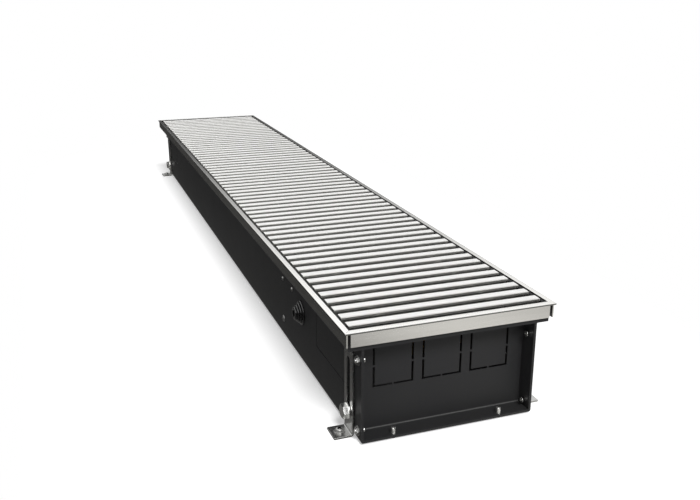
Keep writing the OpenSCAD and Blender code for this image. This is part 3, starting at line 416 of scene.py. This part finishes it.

# %% [markdown]
# The frame's brush marks vary its tone and roughness a little. The upright rim of its flat band is painted much
# darker than the band: painted shade under the band's nose, which draws a fine dark line between the bright band and
# the skirt. A mask of normal and height finds it.

# %% Frame aluminium
FRAME_TONE = (0.93, 0.92, 0.89)
DULL_FRAME_TONE = tuple(v * 0.90 for v in FRAME_TONE)
# painted shade: the dark line under the band's nose
SHADED_RIM_TONE = (0.27, 0.27, 0.26)
BAND_UNDERSIDE = frame_high.z - 1.8 * mm
RIM_FADE = 0.1 * mm
UPRIGHT_TO_LEVEL = (0.3, 0.8)
HAIRLINE_SHARE = 0.6


def painted_shade_on_rim(tree):
    """1 on the upright rim of the flat band, where shade is painted, 0 elsewhere."""
    coordinates = tree.nodes.new("ShaderNodeTexCoord")
    facing_up = calculate(tree, "ABSOLUTE", part_of(tree, coordinates.outputs["Normal"], "Z"))
    height = part_of(tree, coordinates.outputs["Object"], "Z")
    upright = between(tree, facing_up, 1.0, 0.0, *UPRIGHT_TO_LEVEL)
    in_band = between(tree, height, 0.0, 1.0, BAND_UNDERSIDE - RIM_FADE, BAND_UNDERSIDE + RIM_FADE)
    return calculate(tree, "MULTIPLY", upright, in_band)


def frame_aluminium(name, grain, roughness):
    material, tree, shader = new_material(name, metallic=1.0)
    marks = blend(tree, brush(tree, shader, grain), streaks(tree, grain, 260, 5), HAIRLINE_SHARE)
    color = mix_colors(tree, spread_noise(tree, marks, 0.0, 1.0), DULL_FRAME_TONE, FRAME_TONE)
    # paints the shade on the band's upright rim
    tree.links.new(mix_colors(tree, painted_shade_on_rim(tree), color, SHADED_RIM_TONE), shader.inputs["Base Color"])
    rough = spread_noise(tree, marks, roughness * 0.8, roughness * 1.2)
    tree.links.new(rough, shader.inputs["Roughness"])
    return material


side_profile_metal = frame_aluminium("frame_aluminium_long", ALONG_X, 0.16)
end_profile_metal = frame_aluminium("frame_aluminium_short", ALONG_Y, 0.18)
print("aluminium for the frame, with a dark rim above", round(BAND_UNDERSIDE / mm, 1), "mm")

# %% [markdown]
# The slats are cut from one extrusion. Their tops are painted light and bright, while the sides and feet, which lie
# in the shade between the slats, are painted dark: lit and shaded copies of one aluminium. One material serves both:
# a mask reads which way the surface faces and how near the top it lies. The rounded edges get painted shade too, so
# the bright top fades there: ping-pong folds X into the distance from the nearest slat's middle line.

# %% Slat aluminium
# painted light on the tops, painted shade on the sides and feet
LIT_TOP_TONE = (0.96, 0.955, 0.94)
SHADED_SIDE_TONE = (0.42, 0.415, 0.395)
LIT_TOP_FROM = frame_high.z - 1.2 * mm
LIT_TOP_TO = frame_high.z - 0.6 * mm
SLAT_PITCH = 20 * mm
FIRST_SLAT_X = 600 * mm
EDGE_SHADE_FROM = 3.7 * mm
EDGE_SHADE_TO = 4.6 * mm
SHADED_EDGE_SHARE = 0.35
FACING_LIGHT = (0.1, 0.9)
DARKEST_MARK = 0.93
MOST_OF_TWO_NOISES = (0.75, 1.25)
SIDE_METALLIC = 0.88
TOP_METALLIC = 0.66
SLAT_ROUGHNESS = (0.34, 0.44)


def painted_light_on_top(tree):
    """1 on a slat's top, where light is painted, less on its rounded edges, 0 on its shaded sides and feet."""
    coordinates = tree.nodes.new("ShaderNodeTexCoord")
    facing_up = part_of(tree, coordinates.outputs["Normal"], "Z")
    height = part_of(tree, coordinates.outputs["Object"], "Z")
    along = part_of(tree, coordinates.outputs["Object"], "X")
    near_top = between(tree, height, 0.0, 1.0, LIT_TOP_FROM, LIT_TOP_TO)
    upward = between(tree, facing_up, 0.0, 1.0, *FACING_LIGHT, smooth=True)
    off_centre = calculate(tree, "PINGPONG", calculate(tree, "SUBTRACT", along, FIRST_SLAT_X), SLAT_PITCH / 2)
    lit_middle = between(tree, off_centre, 1.0, SHADED_EDGE_SHARE, EDGE_SHADE_FROM, EDGE_SHADE_TO, smooth=True)
    return calculate(tree, "MULTIPLY", calculate(tree, "MULTIPLY", upward, near_top), lit_middle)


def slat_aluminium():
    material, tree, shader = new_material("grille_aluminium")
    hairlines = brush(tree, shader, ALONG_Y)
    both = calculate(tree, "ADD", hairlines, streaks(tree, ALONG_Y, 240, 4))
    marks = between(tree, both, DARKEST_MARK, 1.0, *MOST_OF_TWO_NOISES)
    lit_top = painted_light_on_top(tree)
    # paints the tops light and the sides and rounded edges shaded
    tone = mix_colors(tree, lit_top, SHADED_SIDE_TONE, LIT_TOP_TONE)
    tree.links.new(calculate_vector(tree, "SCALE", tone, marks), shader.inputs["Base Color"])
    tree.links.new(between(tree, lit_top, SIDE_METALLIC, TOP_METALLIC), shader.inputs["Metallic"])
    tree.links.new(spread_noise(tree, hairlines, *SLAT_ROUGHNESS), shader.inputs["Roughness"])
    return material


slat_metal = slat_aluminium()
print("aluminium for the slats, bright above", round(LIT_TOP_FROM / mm, 1), "mm")

# %% [markdown]
# ## Powder coat
#
# The tray is steel sheet under matt black powder coat. Baked powder is never quite flat: it has a fine orange peel,
# about a millimetre wide, and its sheen drifts slowly over a large face. On the end plates a grey line is painted
# along the lower bend: a painted highlight on the bend. The bend lies a fixed way behind the levelling screws, which
# place it.

# %% Black powder coat
COAT_TONE = (0.015, 0.015, 0.016)
DRIFTED_COAT_TONE = (0.018, 0.018, 0.018)
# painted highlight along the end plates' lower bend
BEND_HIGHLIGHT_TONE = (0.085, 0.085, 0.084)
COAT_SPECULAR = 0.28
BEND_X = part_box("levelling_screw_near_left")[0].x - 12.4 * mm
BEND_Z = 5.0 * mm
HIGHLIGHT_FULL_TO = 0.3 * mm
HIGHLIGHT_FADED_FROM = 0.8 * mm
FAINTEST_HIGHLIGHT = 0.55
COAT_ROUGHNESS = (0.46, 0.62)
PEEL_DEPTH = 0.012 * mm


def painted_bend_highlight(tree, peel):
    """1 where a highlight is painted: in a line along each end plate's lower bend, broken by the peel."""
    from_middle = calculate(tree, "ABSOLUTE", part_of(tree, surface_place(tree), "X"))
    aside = calculate(tree, "ABSOLUTE", calculate(tree, "SUBTRACT", from_middle, BEND_X))
    above = calculate(tree, "ABSOLUTE", calculate(tree, "SUBTRACT", part_of(tree, surface_place(tree), "Z"), BEND_Z))
    from_bend = calculate(tree, "MAXIMUM", aside, above)
    return calculate(tree, "MULTIPLY", between(tree, from_bend, 1.0, 0.0, HIGHLIGHT_FULL_TO, HIGHLIGHT_FADED_FROM, smooth=True),
                     between(tree, peel, FAINTEST_HIGHLIGHT, 1.0, 0.35, 0.65))


def powder_coat():
    material, tree, shader = new_material("black_powder_coat")
    peel = noise(tree, surface_place(tree), 900.0, detail=3.0, roughness=0.6)
    drift = noise(tree, surface_place(tree), 9.0)
    color = mix_colors(tree, spread_noise(tree, drift, 0.0, 1.0), COAT_TONE, DRIFTED_COAT_TONE)
    # paints the highlight along the bend
    tree.links.new(mix_colors(tree, painted_bend_highlight(tree, peel), color, BEND_HIGHLIGHT_TONE), shader.inputs["Base Color"])
    tree.links.new(spread_noise(tree, blend(tree, peel, drift, 0.5), *COAT_ROUGHNESS), shader.inputs["Roughness"])
    tree.links.new(bump(tree, peel, PEEL_DEPTH, 0.6), shader.inputs["Normal"])
    shader.inputs["Specular IOR Level"].default_value = COAT_SPECULAR
    return material


black_coat = powder_coat()
print("powder coat for the tray and the end plates, thin at", round(BEND_X / mm, 1), "mm from the middle")

# %% [markdown]
# ## Steel, copper and brass
#
# The brackets are rolled sheet with a thin layer of zinc, which shows a faint crystal pattern
# and the direction of rolling. The screws are bright zinc, the pipes drawn copper, the fittings
# turned brass. One function makes them all, because they differ only in numbers.

# %% Bare metals
GRAIN_RANGE = (0.3, 0.65)
ROLLED_UPRIGHT = (1, 1, 0.35)
DRAWN_ALONG_X = (0.1, 1, 1)


def bare_metal(name, tone, other_tone, roughness, cloud_scale, stretch=(1, 1, 1), pit_depth=0.003):
    """Metal with cloudy crystals: two tones, a roughness, a scale, and a pit depth in mm."""
    material, tree, shader = new_material(name, metallic=1.0)
    clouds = noise(tree, surface_place(tree, stretch), cloud_scale, detail=4.0, roughness=0.6)
    cells = add(tree, "ShaderNodeTexVoronoi", Vector=surface_place(tree, stretch), Scale=cloud_scale * 1.6)
    grain = blend(tree, clouds, cells.outputs["Distance"], 0.7)
    color = mix_colors(tree, between(tree, grain, 0.0, 1.0, *GRAIN_RANGE), tone, other_tone)
    tree.links.new(color, shader.inputs["Base Color"])
    rough = between(tree, grain, roughness * 0.75, roughness * 1.25, *GRAIN_RANGE)
    tree.links.new(rough, shader.inputs["Roughness"])
    tree.links.new(bump(tree, clouds, pit_depth * mm, 0.6), shader.inputs["Normal"])
    return material


zinc_sheet = bare_metal("zinc_sheet", (0.50, 0.50, 0.49), (0.54, 0.54, 0.53), 0.27, 120,
                        ROLLED_UPRIGHT, pit_depth=0.0003)
dull_zinc = bare_metal("dull_zinc", (0.40, 0.40, 0.39), (0.46, 0.46, 0.45), 0.34, 300, pit_depth=0.0002)
bright_zinc = bare_metal("bright_zinc", (0.86, 0.86, 0.84), (0.88, 0.88, 0.86), 0.2, 300, pit_depth=0.0001)
# painted shade: near-black steel for the screw recesses and the corner gap's keys
painted_shade_steel = bare_metal("painted_shade_steel", (0.035, 0.035, 0.036), (0.05, 0.05, 0.05), 0.42, 300,
                             pit_depth=0.0004)
drawn_copper = bare_metal("drawn_copper", (0.62, 0.33, 0.22), (0.48, 0.23, 0.15), 0.36, 120, DRAWN_ALONG_X)
turned_brass = bare_metal("turned_brass", (0.64, 0.49, 0.25), (0.54, 0.39, 0.19), 0.34, 260)
fin_foil = bare_metal("fin_foil", (0.80, 0.81, 0.82), (0.90, 0.90, 0.90), 0.30, 90)
print("zinc, blackened steel, copper, brass and fin foil")

# %% [markdown]
# ## Rubber and plastics
#
# Rubber is black with a soft sheen that turns greyer where a mould left it rough. The moulded
# parts inside have a fine spark-eroded texture. The motor's enamel and the grommet have a gloss
# over them, which the shader's coat gives.


# %% Rubber and plastics
def moulded(name, tone, other_tone, roughness, texture_scale, depth, coat=0.0):
    """A moulded or painted finish: two tones, a roughness, and a texture with its depth in mm."""
    material, tree, shader = new_material(name)
    texture = noise(tree, surface_place(tree), texture_scale, detail=3.0, roughness=0.6)
    drift = noise(tree, surface_place(tree), 24.0)
    color = mix_colors(tree, spread_noise(tree, drift, 0.0, 1.0), tone, other_tone)
    tree.links.new(color, shader.inputs["Base Color"])
    tree.links.new(spread_noise(tree, texture, roughness * 0.8, roughness * 1.2), shader.inputs["Roughness"])
    tree.links.new(bump(tree, texture, depth * mm, 0.5), shader.inputs["Normal"])
    shader.inputs["Coat Weight"].default_value = coat
    return material


black_rubber = moulded("black_rubber", (0.012, 0.012, 0.012), (0.020, 0.020, 0.020), 0.25, 700, 0.004)
grommet_rubber = moulded("grommet_rubber", (0.008, 0.008, 0.008), (0.012, 0.012, 0.012), 0.22, 700, 0.001,
                         coat=1.0)
fan_plastic = moulded("fan_plastic", (0.030, 0.030, 0.033), (0.045, 0.045, 0.048), 0.42, 900, 0.01)
sleeve_plastic = moulded("sleeve_plastic", (0.035, 0.035, 0.035), (0.05, 0.05, 0.05), 0.5, 800, 0.008)
box_plastic = moulded("box_plastic", (0.26, 0.27, 0.29), (0.30, 0.31, 0.33), 0.48, 1100, 0.02)
block_plastic = moulded("block_plastic", (0.78, 0.78, 0.74), (0.84, 0.84, 0.81), 0.38, 900, 0.01)
motor_enamel = moulded("motor_enamel", (0.022, 0.022, 0.025), (0.032, 0.032, 0.035), 0.3, 300, 0.006, coat=0.3)
print("rubber, plastics and enamel")

# %% [markdown]
# ## Dress the imported pieces
#
# Each imported node names the material slot that its finish stands for, so one table from slot to finish dresses
# them all. A few nodes differ from their slot: the frame's short profiles are brushed across the tray, the corner
# keys are painted near black as the shade of the corner gap, the grommet is glossy, and the small fasteners have
# dulled.

# %% Finishes by slot
finishes = {
    "black_steel": black_coat, "frame_aluminium": side_profile_metal, "grille_aluminium": slat_metal,
    "zinc_steel": zinc_sheet, "bright_steel": bright_zinc, "fin_aluminium": fin_foil,
    "copper": drawn_copper, "brass": turned_brass, "black_rubber": black_rubber,
    "sleeve_plastic": sleeve_plastic, "fan_plastic": fan_plastic, "bush_rubber": black_rubber,
    "motor_paint": motor_enamel, "box_plastic": box_plastic, "terminal_plastic": block_plastic,
}
other_finishes = {
    "frame_near_end": end_profile_metal, "frame_far_end": end_profile_metal,
    # the corner keys get painted shade
    "frame_corner_keys": painted_shade_steel, "cable_grommet": grommet_rubber, "box_screws": dull_zinc,
    "coupling_washers": dull_zinc, "coupling_nuts": dull_zinc,
}
slot_of = {part["node"]: part["material_slot"] for part in frame["record"]["subparts"]}
for name, node in nodes.items():
    for socket in node.material_slots:
        socket.material = other_finishes.get(name, finishes[slot_of[name]])
print(len({*finishes.values(), *other_finishes.values()}), "finishes on", len(nodes), "nodes")

# %% [markdown]
# ## Pieces with rounded edges
#
# No real edge is perfectly sharp: sheet is deburred, extrusions leave the die with a small radius,
# and each such edge catches a thin line of light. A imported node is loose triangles, so its copy is
# merged first, its flat faces are made whole, and then its sharp edges are bevelled. The piece
# stands for the node that it was copied from, on the same body and with the same finish.

# %% Mesh helpers
SAME_POINT = 0.001 * mm
FLAT = math.radians(0.3)
SHARP = math.radians(50)


def merged_copy(name):
    """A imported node's shape, with its triangles joined and its flat faces whole."""
    shape = bmesh.new()
    shape.from_mesh(nodes[name].data)
    bmesh.ops.remove_doubles(shape, verts=shape.verts, dist=SAME_POINT)
    bmesh.ops.dissolve_limit(shape, angle_limit=FLAT, verts=shape.verts, edges=shape.edges)
    return shape


def soften(shape, width, edges=None, segments=2):
    """Rounds edges by a width in mm: those given, or else all the sharp ones."""
    if edges is None:
        edges = [edge for edge in shape.edges if edge.is_manifold and edge.calc_face_angle() > SHARP]
    bmesh.ops.bevel(shape, geom=edges, offset=width * mm, segments=segments, profile=0.5,
                    affect="EDGES", clamp_overlap=True, material=-1)


def make_piece(name, shape, node, metals=None):
    """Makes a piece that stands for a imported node, on its body, with its finish or other ones."""
    bmesh.ops.recalc_face_normals(shape, faces=shape.faces)
    mesh = bpy.data.meshes.new(name)
    shape.to_mesh(mesh)
    shape.free()
    mesh.shade_smooth()
    mesh.set_sharp_from_angle(angle=SHARP)
    for metal in metals or [nodes[node].material_slots[0].material]:
        mesh.materials.append(metal)
    piece = bpy.data.objects.new(name, mesh)
    bpy.context.scene.collection.objects.link(piece)
    piece.modifiers.new("even_shading", "WEIGHTED_NORMAL").keep_sharp = True
    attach(piece, nodes[node]["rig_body"])
    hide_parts(node)
    print(name, len(mesh.polygons), "faces")


print("mesh helpers ready")

# %% Rounded edges
edge_widths = {
    "tray": 0.3, "near_end_plate": 0.3, "far_end_plate": 0.3, "frame_corner_keys": 0.2,
    "foot_bracket_near_left": 0.3, "foot_bracket_near_right": 0.3, "foot_bracket_far_left": 0.3,
    "foot_bracket_far_right": 0.3, "bracket_washers": 0.35, "bracket_nuts": 0.5,
    "coupling_washers": 0.15, "coupling_nuts": 0.3, "terminal_box": 0.4, "terminal_box_lid": 0.4,
    "terminal_block": 0.3, "supply_manifold": 0.6, "return_manifold": 0.6,
    "exchanger_brackets": 0.25, "fan_end_plates": 0.25, "damping_strips": 0.4,
}
for name, width in edge_widths.items():
    shape = merged_copy(name)
    soften(shape, width)
    make_piece(name + "_rounded", shape, name)

# %% [markdown]
# ## Frame profiles
#
# The outer top edge of each profile is a fuller radius than the rest, because a trench frame is
# walked on. The other edges, and so the mitred ends, keep a hair of a radius, which lets the
# joints at the corners be seen.

# %% Frame profiles
NOSE_RADIUS = 0.7
FINE_EDGE = 0.15
ON_EDGE = 0.01 * mm


def nose_edges(shape, name, axis):
    """The outer top edges of a profile that faces outwards along an axis."""
    low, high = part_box(name)
    outer = max(abs(low[axis]), abs(high[axis]))
    return [edge for edge in shape.edges
            if all(abs(abs(vert.co[axis]) - outer) < ON_EDGE and vert.co.z > high.z - ON_EDGE
                   for vert in edge.verts)]


for name, axis in (("frame_left", 1), ("frame_right", 1), ("frame_near_end", 0), ("frame_far_end", 0)):
    shape = merged_copy(name)
    soften(shape, NOSE_RADIUS, nose_edges(shape, name, axis), segments=4)
    soften(shape, FINE_EDGE)
    make_piece(name + "_profile", shape, name)

# %% [markdown]
# ## Bracket bolts
#
# A hexagon head has a chamfer turned on it at 30 degrees, which cuts its corners in a curve. The
# head starts as a cylinder of six sides. Its upper rim is subdivided, the top is inset, the inset
# rim is rounded to a circle, and each point of the outer rim drops by how far it lies outside
# that circle.

# %% Hexagon head
CHAMFER = math.radians(30)
FLATS_TO_CORNERS = 1 / math.cos(math.radians(30))
RIM_CUTS = 7
FACE_SHARE = 0.95
FACE_INSET = 0.2 * mm


def hexagon_head(across_flats, height):
    """A hexagon head from z = 0 up, with a corner towards X and a turned chamfer on top."""
    shape = bmesh.new()
    corner = across_flats * FLATS_TO_CORNERS / 2 * mm
    bmesh.ops.create_cone(shape, cap_ends=True, segments=6, radius1=corner, radius2=corner, depth=height * mm)
    half = height / 2 * mm
    bmesh.ops.translate(shape, verts=shape.verts, vec=(0, 0, half))
    first = shape.verts[:][0].co
    turn = Matrix.Rotation(-math.atan2(first.y, first.x), 3, "Z")
    bmesh.ops.rotate(shape, verts=shape.verts, cent=(0, 0, 0), matrix=turn)
    rim = [edge for edge in shape.edges if all(vert.co.z > half for vert in edge.verts)]
    bmesh.ops.subdivide_edges(shape, edges=rim, cuts=RIM_CUTS)
    top = next(face for face in shape.faces if all(vert.co.z > half for vert in face.verts))
    bmesh.ops.inset_region(shape, faces=[top], thickness=FACE_INSET)
    circle = across_flats / 2 * FACE_SHARE * mm
    for vert in shape.verts:
        reach = math.hypot(vert.co.x, vert.co.y)
        if vert in top.verts:
            vert.co.x *= circle / reach
            vert.co.y *= circle / reach
        elif vert.co.z > half:
            vert.co.z -= (reach - circle) * math.tan(CHAMFER)
    return shape


print("hexagon head ready")

# %% [markdown]
# Anything round is spun from its outline, which is a line of a few points from the axis out and
# back to it. A thread is such an outline too, a zigzag of rings, because the slope of so fine a
# thread can't be seen. Several shapes that share a node are gathered into one piece.

# %% Turned shapes
THREAD_DEPTH = 0.54
THREAD_FLANKS = ((0.15, 1), (0.5, 0), (0.62, 0), (0.97, 1))


def turned(outline, steps=32):
    """Spins an outline of radius and height, in mm, about the upright axis."""
    shape = bmesh.new()
    verts = [shape.verts.new((radius * mm, 0, height * mm)) for radius, height in outline]
    edges = [shape.edges.new(pair) for pair in zip(verts, verts[1:])]
    bmesh.ops.spin(shape, geom=verts + edges, cent=(0, 0, 0), axis=(0, 0, 1), angle=math.tau,
                   steps=steps, use_merge=True)
    bmesh.ops.remove_doubles(shape, verts=shape.verts, dist=SAME_POINT / 2)
    bmesh.ops.recalc_face_normals(shape, faces=shape.faces)
    return shape


def threaded_rod(diameter, pitch, low, high):
    """A rod with thread rings from low to high, chamfered at the top."""
    radius = diameter / 2
    depth = THREAD_DEPTH * pitch
    outline = [(0, low), (radius - depth, low)]
    z = low
    while z + pitch < high - depth:
        outline += [(radius - depth * sunk, z + part * pitch) for part, sunk in THREAD_FLANKS]
        z += pitch
    return turned(outline + [(radius, high - depth), (radius - depth, high), (0, high)])


def gather(shapes):
    """Joins several shapes into one."""
    whole = bmesh.new()
    for shape in shapes:
        mesh = bpy.data.meshes.new("part_of_a_piece")
        shape.to_mesh(mesh)
        shape.free()
        whole.from_mesh(mesh)
        bpy.data.meshes.remove(mesh)
    return whole


print("turned shapes ready")

# %% [markdown]
# Each bolt lies along Y with its head outside the casing. The rod starts under the head and goes
# inwards, so head and rod are turned opposite ways from the same place.

# %% Bracket bolts
BOLT_FLATS = 13
BOLT_HEAD = 5.3
BOLT_THREAD = (8, 1.25)
ROD_END = 81.4
bolts_low, bolts_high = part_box("bracket_bolts")
bolt_x = bolts_high.x / mm - BOLT_FLATS * FLATS_TO_CORNERS / 2
bolt_z = (bolts_low.z + bolts_high.z) / 2 / mm
head_foot = bolts_high.y / mm - BOLT_HEAD
shapes = []
for x in (-bolt_x, bolt_x):
    for side in (-1, 1):
        place = Matrix.Translation(Vector((x, side * head_foot, bolt_z)) * mm)
        for shape, way in ((hexagon_head(BOLT_FLATS, BOLT_HEAD), -side),
                           (threaded_rod(*BOLT_THREAD, 0, head_foot - ROD_END), side)):
            turn = Matrix.Rotation(way * math.pi / 2, 4, "X")
            bmesh.ops.transform(shape, matrix=place @ turn, verts=shape.verts)
            shapes.append(shape)
make_piece("bracket_bolts_chamfered", gather(shapes), "bracket_bolts")

# %% [markdown]
# ## Levelling screws
#
# Four headless screws stand in the floor flanges. Each is a threaded rod with a slot across its
# top for a screwdriver. A recess is the one cut that bmesh has no operator for, so a Boolean
# modifier makes it, on objects that are removed again. The cutter has a material of its own, and
# the cut faces keep it, so that a recess can have another finish than its screw.


# %% Recesses
def box_shape(shape, size, centre):
    """Adds a box to a shape, with its size and centre in mm."""
    verts = bmesh.ops.create_cube(shape, size=1.0)["verts"]
    bmesh.ops.scale(shape, vec=Vector(size) * mm, verts=verts)
    bmesh.ops.translate(shape, vec=Vector(centre) * mm, verts=verts)


def carve(shape, cutter_shape, metal, recess_metal):
    """Cuts one closed shape out of another."""
    parts = []
    for part_shape, finish in ((shape, metal), (cutter_shape, recess_metal)):
        mesh = bpy.data.meshes.new("carving")
        part_shape.to_mesh(mesh)
        part_shape.free()
        mesh.materials.append(finish)
        parts.append(bpy.data.objects.new("carving", mesh))
        bpy.context.scene.collection.objects.link(parts[-1])
    body, cutter = parts
    cut = body.modifiers.new("cut", "BOOLEAN")
    cut.object = cutter
    cut.solver = "EXACT"
    cut.use_self = True
    cut.material_mode = "TRANSFER"
    result = bpy.data.meshes.new_from_object(body.evaluated_get(bpy.context.evaluated_depsgraph_get()))
    carved = bmesh.new()
    carved.from_mesh(result)
    leftovers = [body.data, cutter.data, result]
    for part in parts:
        bpy.data.objects.remove(part)
    for mesh in leftovers:
        bpy.data.meshes.remove(mesh)
    return carved


print("recesses ready")

# %% Levelling screws
CORNERS = ("near_left", "near_right", "far_left", "far_right")
LEVELLING_THREAD = (5, 0.8)
SLOT_WIDTH = 1.2
SLOT_DEPTH = 1.5

for corner in CORNERS:
    node = "levelling_screw_" + corner
    low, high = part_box(node)
    middle = (low + high) / 2
    slot = bmesh.new()
    box_shape(slot, (2 * LEVELLING_THREAD[0], SLOT_WIDTH, 2 * SLOT_DEPTH), (0, 0, high.z / mm))
    rod = threaded_rod(*LEVELLING_THREAD, low.z / mm, high.z / mm)
    shape = carve(rod, slot, bright_zinc, bright_zinc)
    bmesh.ops.translate(shape, vec=(middle.x, middle.y, 0), verts=shape.verts)
    make_piece(node + "_threaded", shape, node)

# %% [markdown]
# ## Cable grommet
#
# The rubber grommet is a cone of rings, so that it can be cut off where the cable is a tight fit.
# Each ring is moulded round and has a small groove behind it, which is what draws the thin bright
# arcs on it. The whole wall is one closed outline, spun about the axis and laid on its side. Its
# flange sits behind the edge of the tray's hole and its neck in the hole, and the bore narrows in
# steps towards the cable.

# %% Cable grommet
FLANGE_RADIUS = 16
FLANGE_ROUND = 0.3
NECK_RADIUS = 12.6
SHEET = 1.2
RING_RADIUS = 14
RING_STEP = 2.1
RING_HEIGHT = 2.25
RING_COUNT = 4
RING_OUTLINE = ((0.9, 0), (0.25, 0.25), (0, 0.8), (0.2, 1.45), (0.75, 2.0), (1.5, 2.25), (2.4, 2.2))
SKIN = 3
GROMMET_HEIGHT = 9
CABLE_RADIUS = 4
TIP_WALL = 0.6
TIP_ROUND = 0.4

rings = [RING_RADIUS - i * RING_STEP for i in range(RING_COUNT)]
bores = [max(ring - RING_STEP - SKIN, CABLE_RADIUS) for ring in rings]
outline = [(bores[0], -2 * SHEET), (FLANGE_RADIUS - FLANGE_ROUND, -2 * SHEET),
           (FLANGE_RADIUS, -2 * SHEET + FLANGE_ROUND), (FLANGE_RADIUS, -SHEET),
           (NECK_RADIUS, -SHEET), (NECK_RADIUS, 0)]
for i, ring in enumerate(rings):
    outline += [(ring - inset, i * RING_HEIGHT + rise) for inset, rise in RING_OUTLINE]
outline += [(CABLE_RADIUS + TIP_WALL, GROMMET_HEIGHT), (CABLE_RADIUS, GROMMET_HEIGHT - TIP_ROUND)]
for i in range(RING_COUNT - 1, 0, -1):
    if bores[i] < bores[i - 1]:
        outline += [(bores[i], i * RING_HEIGHT), (bores[i - 1], i * RING_HEIGHT)]
outline.append(outline[0])
low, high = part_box("cable_grommet")
shape = turned(outline, steps=48)
place = Matrix.Translation(((low.x + high.x) / 2, low.y + GROMMET_HEIGHT * mm, (low.z + high.z) / 2))
bmesh.ops.transform(shape, matrix=place @ Matrix.Rotation(math.pi / 2, 4, "X"), verts=shape.verts)
make_piece("cable_grommet_ringed", shape, "cable_grommet")

# %% [markdown]
# ## Cross-headed screws
#
# The floor screws have a domed head with a cross recess, and a washer under it. The dome is spun from a quarter arc,
# and two thin boxes, joined as one cutter, are taken out of the head. A floor screw's recess is painted nearly
# black: painted shade. All four are turned the same odd way, since nobody lines up a screw.


# %% Floor screw shapes
def cross_shape(width, reach, depth, top):
    """Two crossed boxes, in mm, as deep below the top of a head as they stand above it."""
    cross = bmesh.new()
    for size in ((2 * reach, width), (width, 2 * reach)):
        box_shape(cross, (*size, 2 * depth), (0, 0, top))
    return cross


def domed_head(radius, foot, height, wall_share=0.35, steps=6):
    """The outline of a domed head: a short wall and then an arc up to the axis."""
    wall = height * wall_share
    arc = [(radius * math.cos(turn), foot + wall + (height - wall) * math.sin(turn))
           for turn in (math.pi / 2 * i / steps for i in range(steps + 1))]
    return [(radius, foot)] + arc


def washer_outline(bore, radius, foot, top, lower_round=0.2, upper_round=0.3):
    return [(bore, foot), (radius - lower_round, foot), (radius, foot + lower_round),
            (radius, top - upper_round), (radius - upper_round, top), (bore, top), (bore, foot)]


print("floor screw shapes ready")

# %% Floor screws
SHANK_RADIUS = 2.5
DOME_RADIUS = 4
DOME_HEIGHT = 3
WASHER_RADIUS = 5.5
WASHER_HEIGHT = 1.1
WASHER_PLAY = 0.1
SEAT = 0.05
FLOOR_SCREW_CROSS = (1.5, 2.7, 1.7)
SCREW_TURN = Matrix.Rotation(math.radians(35), 3, "Z")

for corner in CORNERS:
    node = "floor_screw_" + corner
    low, high = (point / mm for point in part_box(node))
    head_foot = high.z - DOME_HEIGHT
    washer_top = head_foot - SEAT
    outline = [(0, low.z), (SHANK_RADIUS, low.z), (SHANK_RADIUS, head_foot)]
    outline += domed_head(DOME_RADIUS, head_foot, DOME_HEIGHT)
    # the cross recess gets painted shade
    screw = carve(turned(outline), cross_shape(*FLOOR_SCREW_CROSS, high.z), dull_zinc, painted_shade_steel)
    washer = turned(washer_outline(SHANK_RADIUS + WASHER_PLAY, WASHER_RADIUS, washer_top - WASHER_HEIGHT,
                                   washer_top))
    shape = gather([screw, washer])
    bmesh.ops.rotate(shape, verts=shape.verts, cent=(0, 0, 0), matrix=SCREW_TURN)
    middle = (low + high) / 2 * mm
    bmesh.ops.translate(shape, vec=(middle.x, middle.y, 0), verts=shape.verts)
    make_piece(node + "_domed", shape, node, [dull_zinc, painted_shade_steel])

# %% [markdown]
# The coupling screws are countersunk ones that stand clear inside the end plate's flanges. Their
# ends lie in the nuts outside the walls, so each is spun from its end up to its head and laid
# along Y. Their recess is clean.

# %% Coupling screws
COUPLING_RADIUS = 2
COUPLING_CHAMFER = 0.4
CONE_RADIUS = 3
CONE_HEIGHT = 3.2
CONE_RIM = 0.5
CONE_ROUND = 0.1
COUPLING_CROSS = (0.8, 1.7, 1.3)
PACKED_HEAD_RADIUS = 3.75

low, high = (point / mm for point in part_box("coupling_screws"))
length = high.y - min(abs(vert.co.y) for vert in nodes["coupling_screws"].data.vertices) / mm
outline = [(0, 0), (COUPLING_RADIUS - COUPLING_CHAMFER, 0), (COUPLING_RADIUS, COUPLING_CHAMFER),
           (COUPLING_RADIUS, length - CONE_HEIGHT), (CONE_RADIUS, length - CONE_RIM),
           (CONE_RADIUS, length - CONE_ROUND), (CONE_RADIUS - CONE_ROUND, length), (0, length)]
shapes = []
for x in (low.x + PACKED_HEAD_RADIUS, high.x - PACKED_HEAD_RADIUS):
    for side in (-1, 1):
        turn = Matrix.Rotation(side * math.pi / 2, 4, "X")
        for z in (low.z + PACKED_HEAD_RADIUS, high.z - PACKED_HEAD_RADIUS):
            screw = carve(turned(outline), cross_shape(*COUPLING_CROSS, length), bright_zinc, bright_zinc)
            place = Matrix.Translation(Vector((x, side * high.y, z)) * mm)
            bmesh.ops.transform(screw, matrix=place @ turn, verts=screw.verts)
            shapes.append(screw)
make_piece("coupling_screws_coned", gather(shapes), "coupling_screws")

# %% [markdown]
# ## Finish
#
# The view transform is set to Standard.

# %% Finish
bpy.context.scene.view_settings.view_transform = "Standard"
